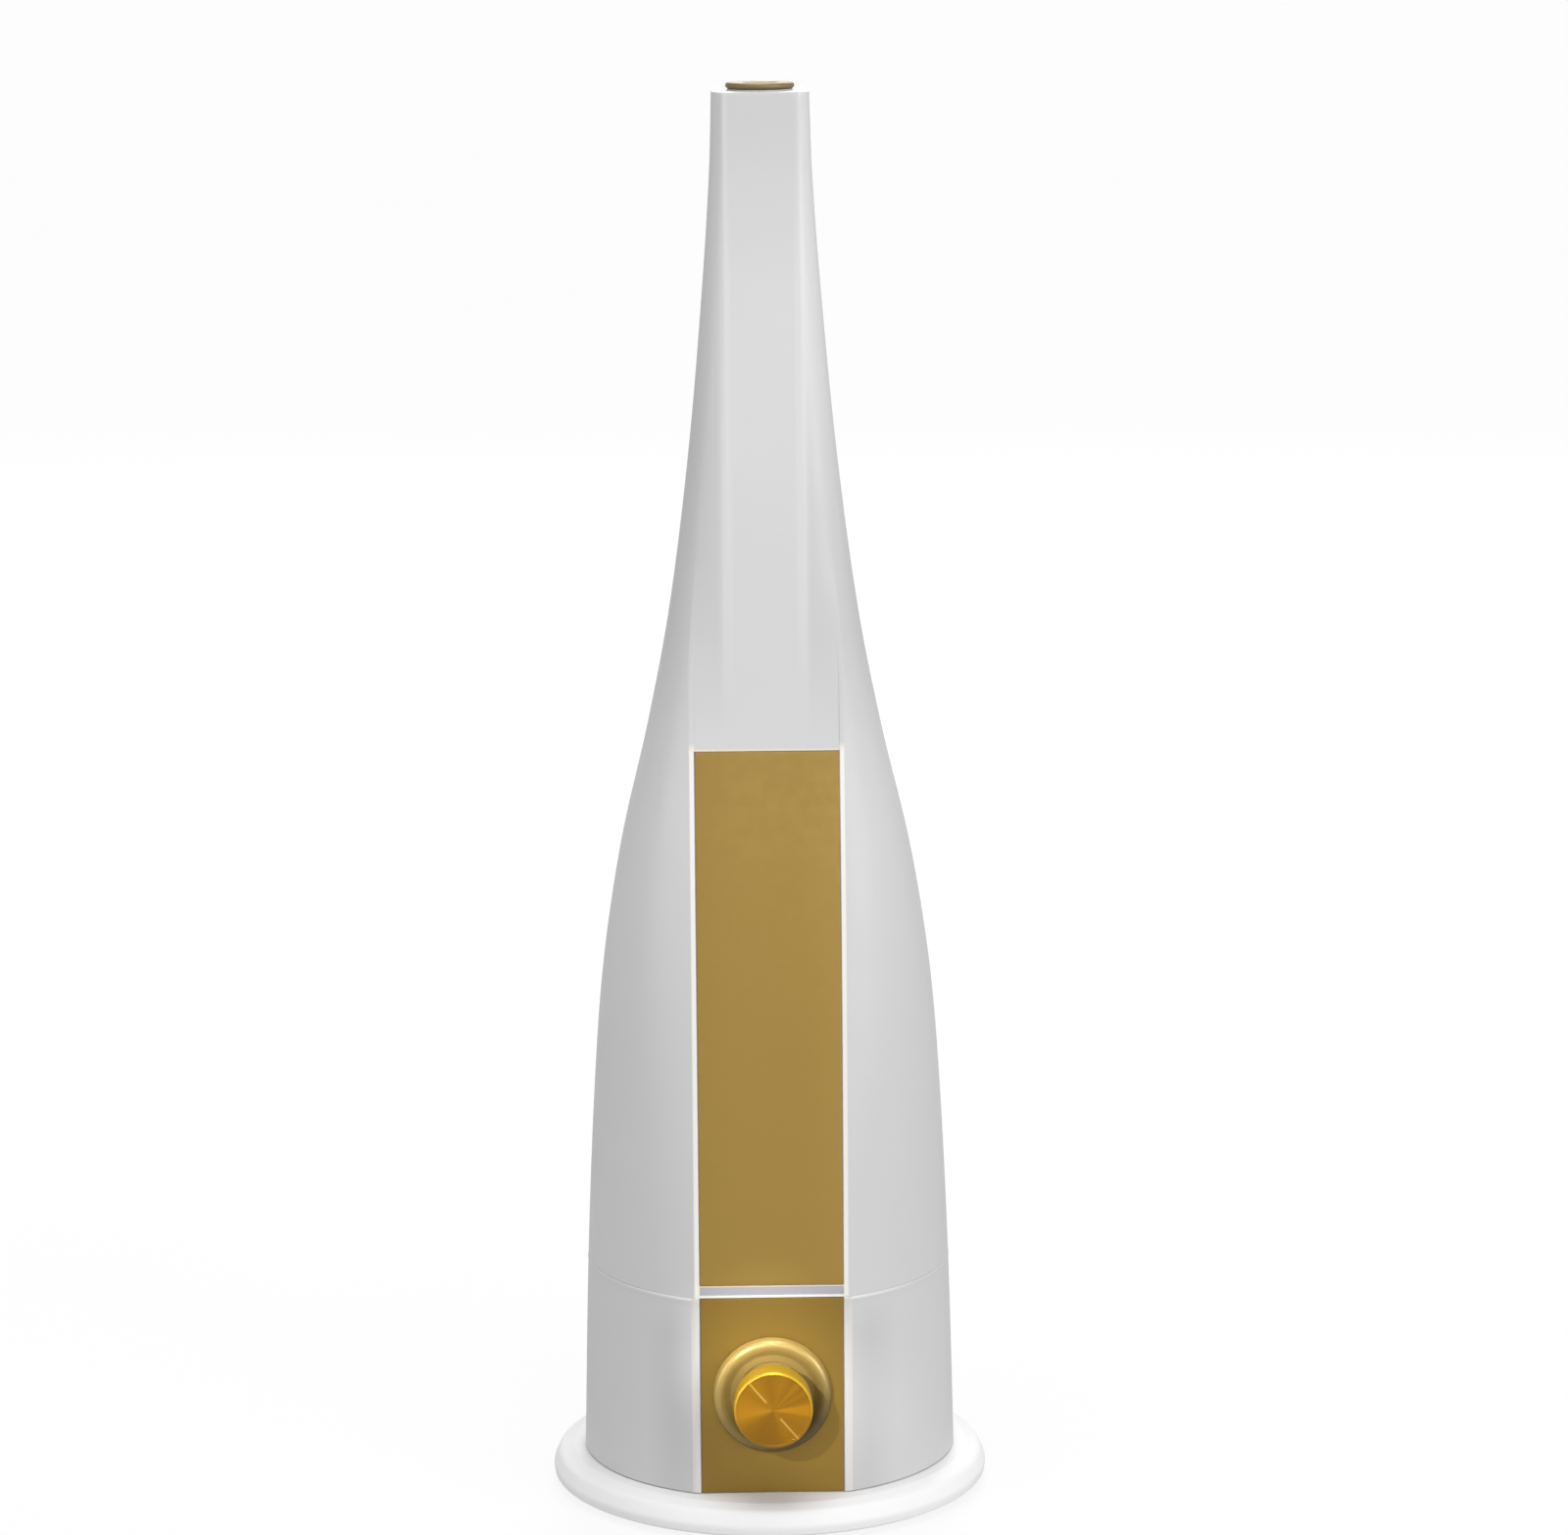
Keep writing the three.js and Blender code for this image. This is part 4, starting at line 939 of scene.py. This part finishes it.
mist_slot = rounded_block((-9, 9), (-8.5, -0.5), (790, 803), 3.9, 8)
slot_rim = rounded_block((-10, 10), (-9.5, 0.5), (DISC_TOP - 0.45, 803), 4.9, 8)
head_profile = [
    (0, DISC_BOTTOM), (12.3, DISC_BOTTOM), (12.3, SKIRT_BOTTOM, 0.3), (13.9, SKIRT_BOTTOM, 0.5),
    (13.9, DISC_BOTTOM), (DISC_RADIUS, DISC_BOTTOM, 2.2), (DISC_RADIUS, DISC_TOP, 2.2), (0, DISC_TOP),
]
piece(
    "nozzle_gold_head", lathe(head_profile, 128, 8), "nozzle_top", GOLD_NOZZLE,
    ["nozzle_head"], cutters=[mist_slot, slot_rim],
)
sleeve_profile = [
    (14.2, 775, 0.3), (15.9, 775, 0.4), (15.9, FLANGE[0]), (18.2, FLANGE[0], 0.1), (18.2, FLANGE[1], 0.1),
    (14.2, FLANGE[1], 0.1),
]
piece(
    "nozzle_white_sleeve", lathe(sleeve_profile, 96), "nozzle", WHITE_FOOT,
    ["nozzle_sleeve"],
)

# ------------------------------------ tank floor, mist tube, filler cap and valve


def floor_shape():
    """The tank's floor, a plate with the mist tube's hole in its middle and softened edges."""
    bottom, top = TANK_FLOOR
    edge, soft = WALL + 0.3, 0.3
    low, high = ring(bottom, edge), ring(top, edge)
    return loft([
        ring(bottom, edge + soft), ring(bottom, edge, bottom + soft), ring(top, edge, top - soft),
        ring(top, edge + soft), to_circle(high, 21.6, top), to_circle(high, 21.3, top - soft),
        to_circle(low, 21.3, bottom + soft), to_circle(low, 21.6, bottom),
    ], closed=True)


FILLER_HOLE = 21.5  # its radius
filler_neck = lathe([(FILLER_HOLE, 134, 0.3), (24.5, 134, 0.5), (24.5, 147.5), (FILLER_HOLE, 147.5)], 96)
piece(
    "tank_floor_disc", floor_shape(), "tank", INNER, ["tank_floor"],
    cutters=[placed(rod(FILLER_HOLE, 140, 152, 96), CAP_X)],
)
piece("tank_filler_neck", placed(filler_neck, CAP_X), "tank", INNER)
tube_profile = [
    (19.4, 126, 0.4), (21, 126, 0.5), (21, 151.1, 0.3), (25, 151.1, 0.3), (25, 152.6, 0.4), (21, 152.6, 3),
    (TUBE_RADIUS, 175, 12), (TUBE_RADIUS, TUBE_TOP, 0.3), (TUBE_BORE, TUBE_TOP, 0.3), (TUBE_BORE, 175, 12),
    (19.4, 152.6, 3),
]
piece("mist_tube_white", lathe(tube_profile, 96), "tank", INNER, ["mist_tube"])
piece("tube_gasket_ring", flat_ring(21.3, 25, 149.3, 150.8), "tank", SILICONE, ["tube_gasket"])
neck_gasket = flat_ring(TUBE_BORE, TUBE_RADIUS, TUBE_TOP + 0.3, NECK_TOP - WALL - 0.3)
piece("neck_gasket_ring", neck_gasket, "tank", SILICONE, ["neck_gasket"])


RIBS = 36
RIB_HEIGHT = 0.4


def ribbed_cap():
    """The filler cap, its side made of upright grip ribs, with a spoked guide for the valve."""
    profile = [
        (9, 121.7, 0.3), (27, 121.7, 1.2), (27.6, 124, 1), (27.6, 136, 0.4), (27.2, 137, 0.4),
        (25.1, 137, 0.3), (25.1, 131.4, 0.2), (21, 131.4, 0.3), (21, 124.4, 0.5), (9, 124.4, 0.3),
    ]
    turns = np.linspace(0, 2 * math.pi, 8 * RIBS + 1)[:-1]
    rows = []
    for r, z in rounded(profile, 3, closed=True):
        grip = step((z - 123.2) / 1.2) * step(136.4 - z) if r > 27 else 0
        radius = r + RIB_HEIGHT * grip * np.cos(RIBS * turns)
        rows.append(np.stack([radius * np.cos(turns), radius * np.sin(turns), np.full_like(turns, z)], 1))
    guide = flat_ring(3.5, 5.4, 121.7, 124.4, 0.3, 48)
    spoke = rounded_block((4.4, 9.6), (-1, 1), (121.8, 124.3), 0.4)
    return merged(loft(rows, closed=True), guide, *(turned(spoke, degrees) for degrees in (0, 120, 240)))


piece("filler_cap_ribbed", placed(ribbed_cap(), CAP_X), "filler_cap", WHITE_FOOT, ["tank_cap"])
piece(
    "cap_gasket_ring", placed(flat_ring(FILLER_HOLE, 24.8, 131.7, 133.7), CAP_X), "filler_cap", SILICONE,
    ["cap_gasket"],
)
plunger_profile = [
    (0, 114.9), (6, 114.9, 0.4), (6, 116.3, 0.4), (3, 116.3, 0.5), (3, 129, 0.5), (12, 129, 0.3),
    (12, 130.6, 0.5), (0, 131.4),
]
piece(
    "valve_pin_white", placed(lathe(plunger_profile, 48), CAP_X), "valve", INNER,
    ["valve_plunger"],
)
piece(
    "valve_seal_disc", placed(flat_ring(3.3, 12, 127.7, 128.7), CAP_X), "valve", RUBBER,
    ["valve_seal"],
)

# ------------------------------------ water basin and float


BORE_X = (DUCT_X[0] + DUCT_WALL, DUCT_X[1] - DUCT_WALL)
BORE_Y = (DUCT_Y[0] + DUCT_WALL, DUCT_Y[1] - DUCT_WALL)
BORE_CORNER = 0.8


def basin_shape():
    """Collar, floor and round well of the basin, as rows down the outside and up the inside."""
    edge = seam_ring(13, 100)
    well_outside = ((26, 97.5), (24, 95.5), (24, 88.4), (23.6, 88))
    disc_hole = ((9, 88), (9, 90.7), (9.3, 91))
    well_inside = ((20.3, 91), (21.5, 92.2), (21.5, 98.8), (21.9, 99.6), (23, 100))
    return loft([
        ring(142, 3.7), ring(141.6, 3.3), ring(134, 3.3), ring(127.3, 3.3), ring(126.9, 3.7),
        seam_ring(10.5, 126.9), seam_ring(10.5, 98.2), seam_ring(11.2, 97.5),
        *(to_circle(edge, radius, z) for radius, z in well_outside + disc_hole + well_inside),
        seam_ring(16.5, 100), seam_ring(14.6, 100.5), seam_ring(13.4, 101.7), seam_ring(13, 103.5),
        seam_ring(13, 129.4), seam_ring(12.6, 130),
        ring(130, 5.9), ring(130.5, 5.5), ring(141.6, 5.5), ring(142, 5.1),
    ], closed=True)


def duct_shape():
    """The rectangular duct that leads the fan's air up through the basin."""
    heights = (98, 130.7, 131)
    outside = block_rows(DUCT_X, DUCT_Y, heights, 1.5)
    inside = block_rows(BORE_X, BORE_Y, heights, BORE_CORNER)
    mouth = outside[2] * 0.6 + inside[2] * 0.4
    return loft([outside[0], outside[1], mouth, inside[1], inside[0]], closed=True)


clamp_screw_holes = [placed(rod(1.7, 80, 90, 24), *spot) for spot in on_circle(17.5, (30, 150, 270))]
piece(
    "basin_white", basin_shape(), "base", INNER, ["water_basin"],
    cutters=[rounded_block(BORE_X, BORE_Y, (90, 110), BORE_CORNER), *clamp_screw_holes],
)
float_pin = placed(rod(2, 99.5, 123, 32, 0.4), *FLOAT_AT)
valve_pin = placed(rod(3.5, 99.5, 114.6, 32, 0.6), CAP_X)
piece("basin_duct_and_pins", merged(duct_shape(), float_pin, valve_pin), "base", INNER)
float_profile = [
    (2.5, 104.6), (5.2, 104.6), (5.2, 101, 0.2), (9, 101, 1.4), (9, 111, 1.6), (2.5, 111, 0.5),
]
piece(
    "float_white", placed(lathe(float_profile, 64), *FLOAT_AT), "float", INNER, ["float"],
)
clip_profile = [(0, 123.3), (2.3, 123.3), (2.3, 121.6, 0.2), (4.2, 121.6, 0.4), (4.2, 125, 1.2), (0, 125)]
piece(
    "float_stop_clip", placed(lathe(clip_profile, 48), *FLOAT_AT), "base", INNER,
    ["float_clip"],
)

# ------------------------------------ power socket at the back

socket_profile = [
    (0, 90), (8, 90, 0.5), (8, 97.5), (11, 97.5, 0.4), (11, 102, 0.4), (8, 102), (8, 104.4, 0.6),
    (3.2, 104.4, 0.4), (3.2, 95, 0.3), (0, 95),
]
piece(
    "power_socket", on_socket_axis(lathe(socket_profile, 64)), "base", BLACK,
    ["power_inlet"],
)
pin_profile = [(0, 95.3), (1.05, 95.3), (1.05, 103.6, 0.5), (0, 103.6)]
piece("socket_pin", on_socket_axis(lathe(pin_profile, 32)), "base", STEEL, ["inlet_pin"])

# ------------------------------------ finish on the CAD nodes that stay

CAD_FINISH = {
    "white_gloss": WHITE, "inner_white": INNER, "gold_plate": GOLD_SHEET, "gold_bright": GOLD_RING,
    "steel": STEEL, "bare_aluminium": ALUMINIUM, "copper": COPPER, "rubber": RUBBER, "silicone": SILICONE,
    "black_plastic": BLACK, "board": BOARD, "ceramic": CERAMIC, "foam": FOAM,
}
slots = {row["node"]: row["material_slot"] for row in frame["record"]["subparts"]}
for name, node in frame["nodes"].items():
    node.data.materials.clear()
    node.data.materials.append(CAD_FINISH[slots[name]])

# ------------------------------------ floor, lights and camera


FLOOR_HALF = 60000
FLOOR_GLOW = 0.52  # emission that lights the object
FLOOR_SEEN = (0.85, 0.91)  # emission the camera sees, near the object and far from it
FLOOR_NEAR_FAR = (0.6, 4.5)  # those distances from the axis, in metres
FLOOR_TONE = 0.10
WORLD_GLOW = 0.55
WORLD_SEEN = 0.98


def lay_floor():
    """A pale floor that glows more in the distance, so that it meets the world without a line."""
    n = Nodes("studio_floor")
    n.set(Specular_IOR_Level=0.05, Roughness=0.85, Emission_Color=(1, 1, 1, 1))
    away = n.vector_maths("LENGTH", n.place).outputs["Value"]
    seen = n.spread(away, *FLOOR_SEEN, *FLOOR_NEAR_FAR)
    direct = n.tree.nodes.new("ShaderNodeLightPath").outputs["Is Camera Ray"]
    n.link(n.spread(direct, FLOOR_GLOW, seen, 0, 1), n.shader.inputs["Emission Strength"])
    grey = (FLOOR_TONE,) * 3
    material = n.finish(n.blend(n.spread(n.noise(900, 2), 0, 1), shade(grey, 1), shade(grey, 1.05)))
    side = FLOOR_HALF
    corners = [(-side, -side, 0), (side, -side, 0), (side, side, 0), (-side, side, 0)]
    floor = mesh_object("floor", corners, [(0, 1, 2, 3)], material)


def light_world():
    """A white world that glows less on the object than it looks to the camera."""
    scene.world = bpy.data.worlds.new("studio")
    scene.world.use_nodes = True
    tree = scene.world.node_tree
    tree.nodes.clear()
    out = tree.nodes.new("ShaderNodeOutputWorld")
    mix = tree.nodes.new("ShaderNodeMixShader")
    path = tree.nodes.new("ShaderNodeLightPath")
    tree.links.new(path.outputs["Is Camera Ray"], mix.inputs["Fac"])
    for socket, strength in ((1, WORLD_GLOW), (2, WORLD_SEEN)):
        background = tree.nodes.new("ShaderNodeBackground")
        background.inputs["Color"].default_value = (1, 1, 1, 1)
        background.inputs["Strength"].default_value = strength
        tree.links.new(background.outputs[0], mix.inputs[socket])
    tree.links.new(mix.outputs[0], out.inputs["Surface"])


def place_light(data, location, target):
    """Puts the light in the scene, aimed at the target. Both places are in metres."""
    obj = bpy.data.objects.new(data.name, data)
    scene.collection.objects.link(obj)
    obj.location = location
    obj.rotation_euler = (Vector(target) - Vector(location)).to_track_quat("-Z", "Y").to_euler()


def area_light(name, location, target, size, power):
    data = bpy.data.lights.new(name, "AREA")
    data.shape = "RECTANGLE"
    data.size, data.size_y = size
    data.energy = power
    place_light(data, location, target)


def spot_light(name, location, target, spread, power, radius):
    data = bpy.data.lights.new(name, "SPOT")
    data.spot_size = math.radians(spread)
    data.spot_blend = 0.6
    data.energy = power
    data.shadow_soft_size = radius
    place_light(data, location, target)


lay_floor()
light_world()

# Soft boxes round the object, then three narrow lights on the neck and the knob. Powers are in watts.
area_light("top_soft", (0, -0.4, 4.0), (0, 0, 0.2), (2.0, 2.0), 70)
area_light("soft_right", (2.4, -2.2, 0.65), (0, 0, 0.2), (1.2, 1.6), 44)
area_light("soft_left", (-2.6, -1.4, 0.6), (0, 0, 0.15), (1.2, 1.6), 17.5)
area_light("soft_front", (0.5, -3.2, 1.6), (0, 0, 0.35), (1.4, 1.4), 20)
area_light("soft_back", (0.4, 3.6, 2.6), (0, 0, 0.35), (1.6, 1.6), 78)
spot_light("neck_spot", (1.7, -1.0, 1.15), (0.02, 0, 0.71), 10.5, 28, 0.06)
spot_light("knob_spot", (-0.50, -1.1, 0.66), (0.002, -0.1, 0.086), 4.25, 64, 0.025)
spot_light("knob_top", (0.03, -0.95, 1.2), (0, -0.1, 0.105), 3.2, 15, 0.015)

# The camera at the photo's angle: metres, degrees and the lens in mm.
CAMERA_DISTANCE = 2.70
CAMERA_HEIGHT = 0.9215
CAMERA_AZIMUTH = -1.0
CAMERA_TILT = 10.62
CAMERA_YAW = 0.231
CAMERA_ROLL = 0.38
LENS = 111.6

camera_data = bpy.data.cameras.new("camera")
camera_data.lens = LENS
camera_data.sensor_width = 36
camera_data.clip_start = 0.05
camera_data.clip_end = 200
camera = bpy.data.objects.new("camera", camera_data)
scene.collection.objects.link(camera)
azimuth = math.radians(CAMERA_AZIMUTH)
camera.location = (CAMERA_DISTANCE * math.sin(azimuth), -CAMERA_DISTANCE * math.cos(azimuth), CAMERA_HEIGHT)
camera.rotation_mode = "QUATERNION"
heading = Matrix.Rotation(azimuth - math.radians(CAMERA_YAW), 4, "Z")
tilt = Matrix.Rotation(math.radians(90 - CAMERA_TILT), 4, "X")
roll = Matrix.Rotation(math.radians(-CAMERA_ROLL), 4, "Z")
camera.rotation_quaternion = (heading @ tilt @ roll).to_quaternion()
scene.camera = camera
scene.view_settings.view_transform = "Standard"
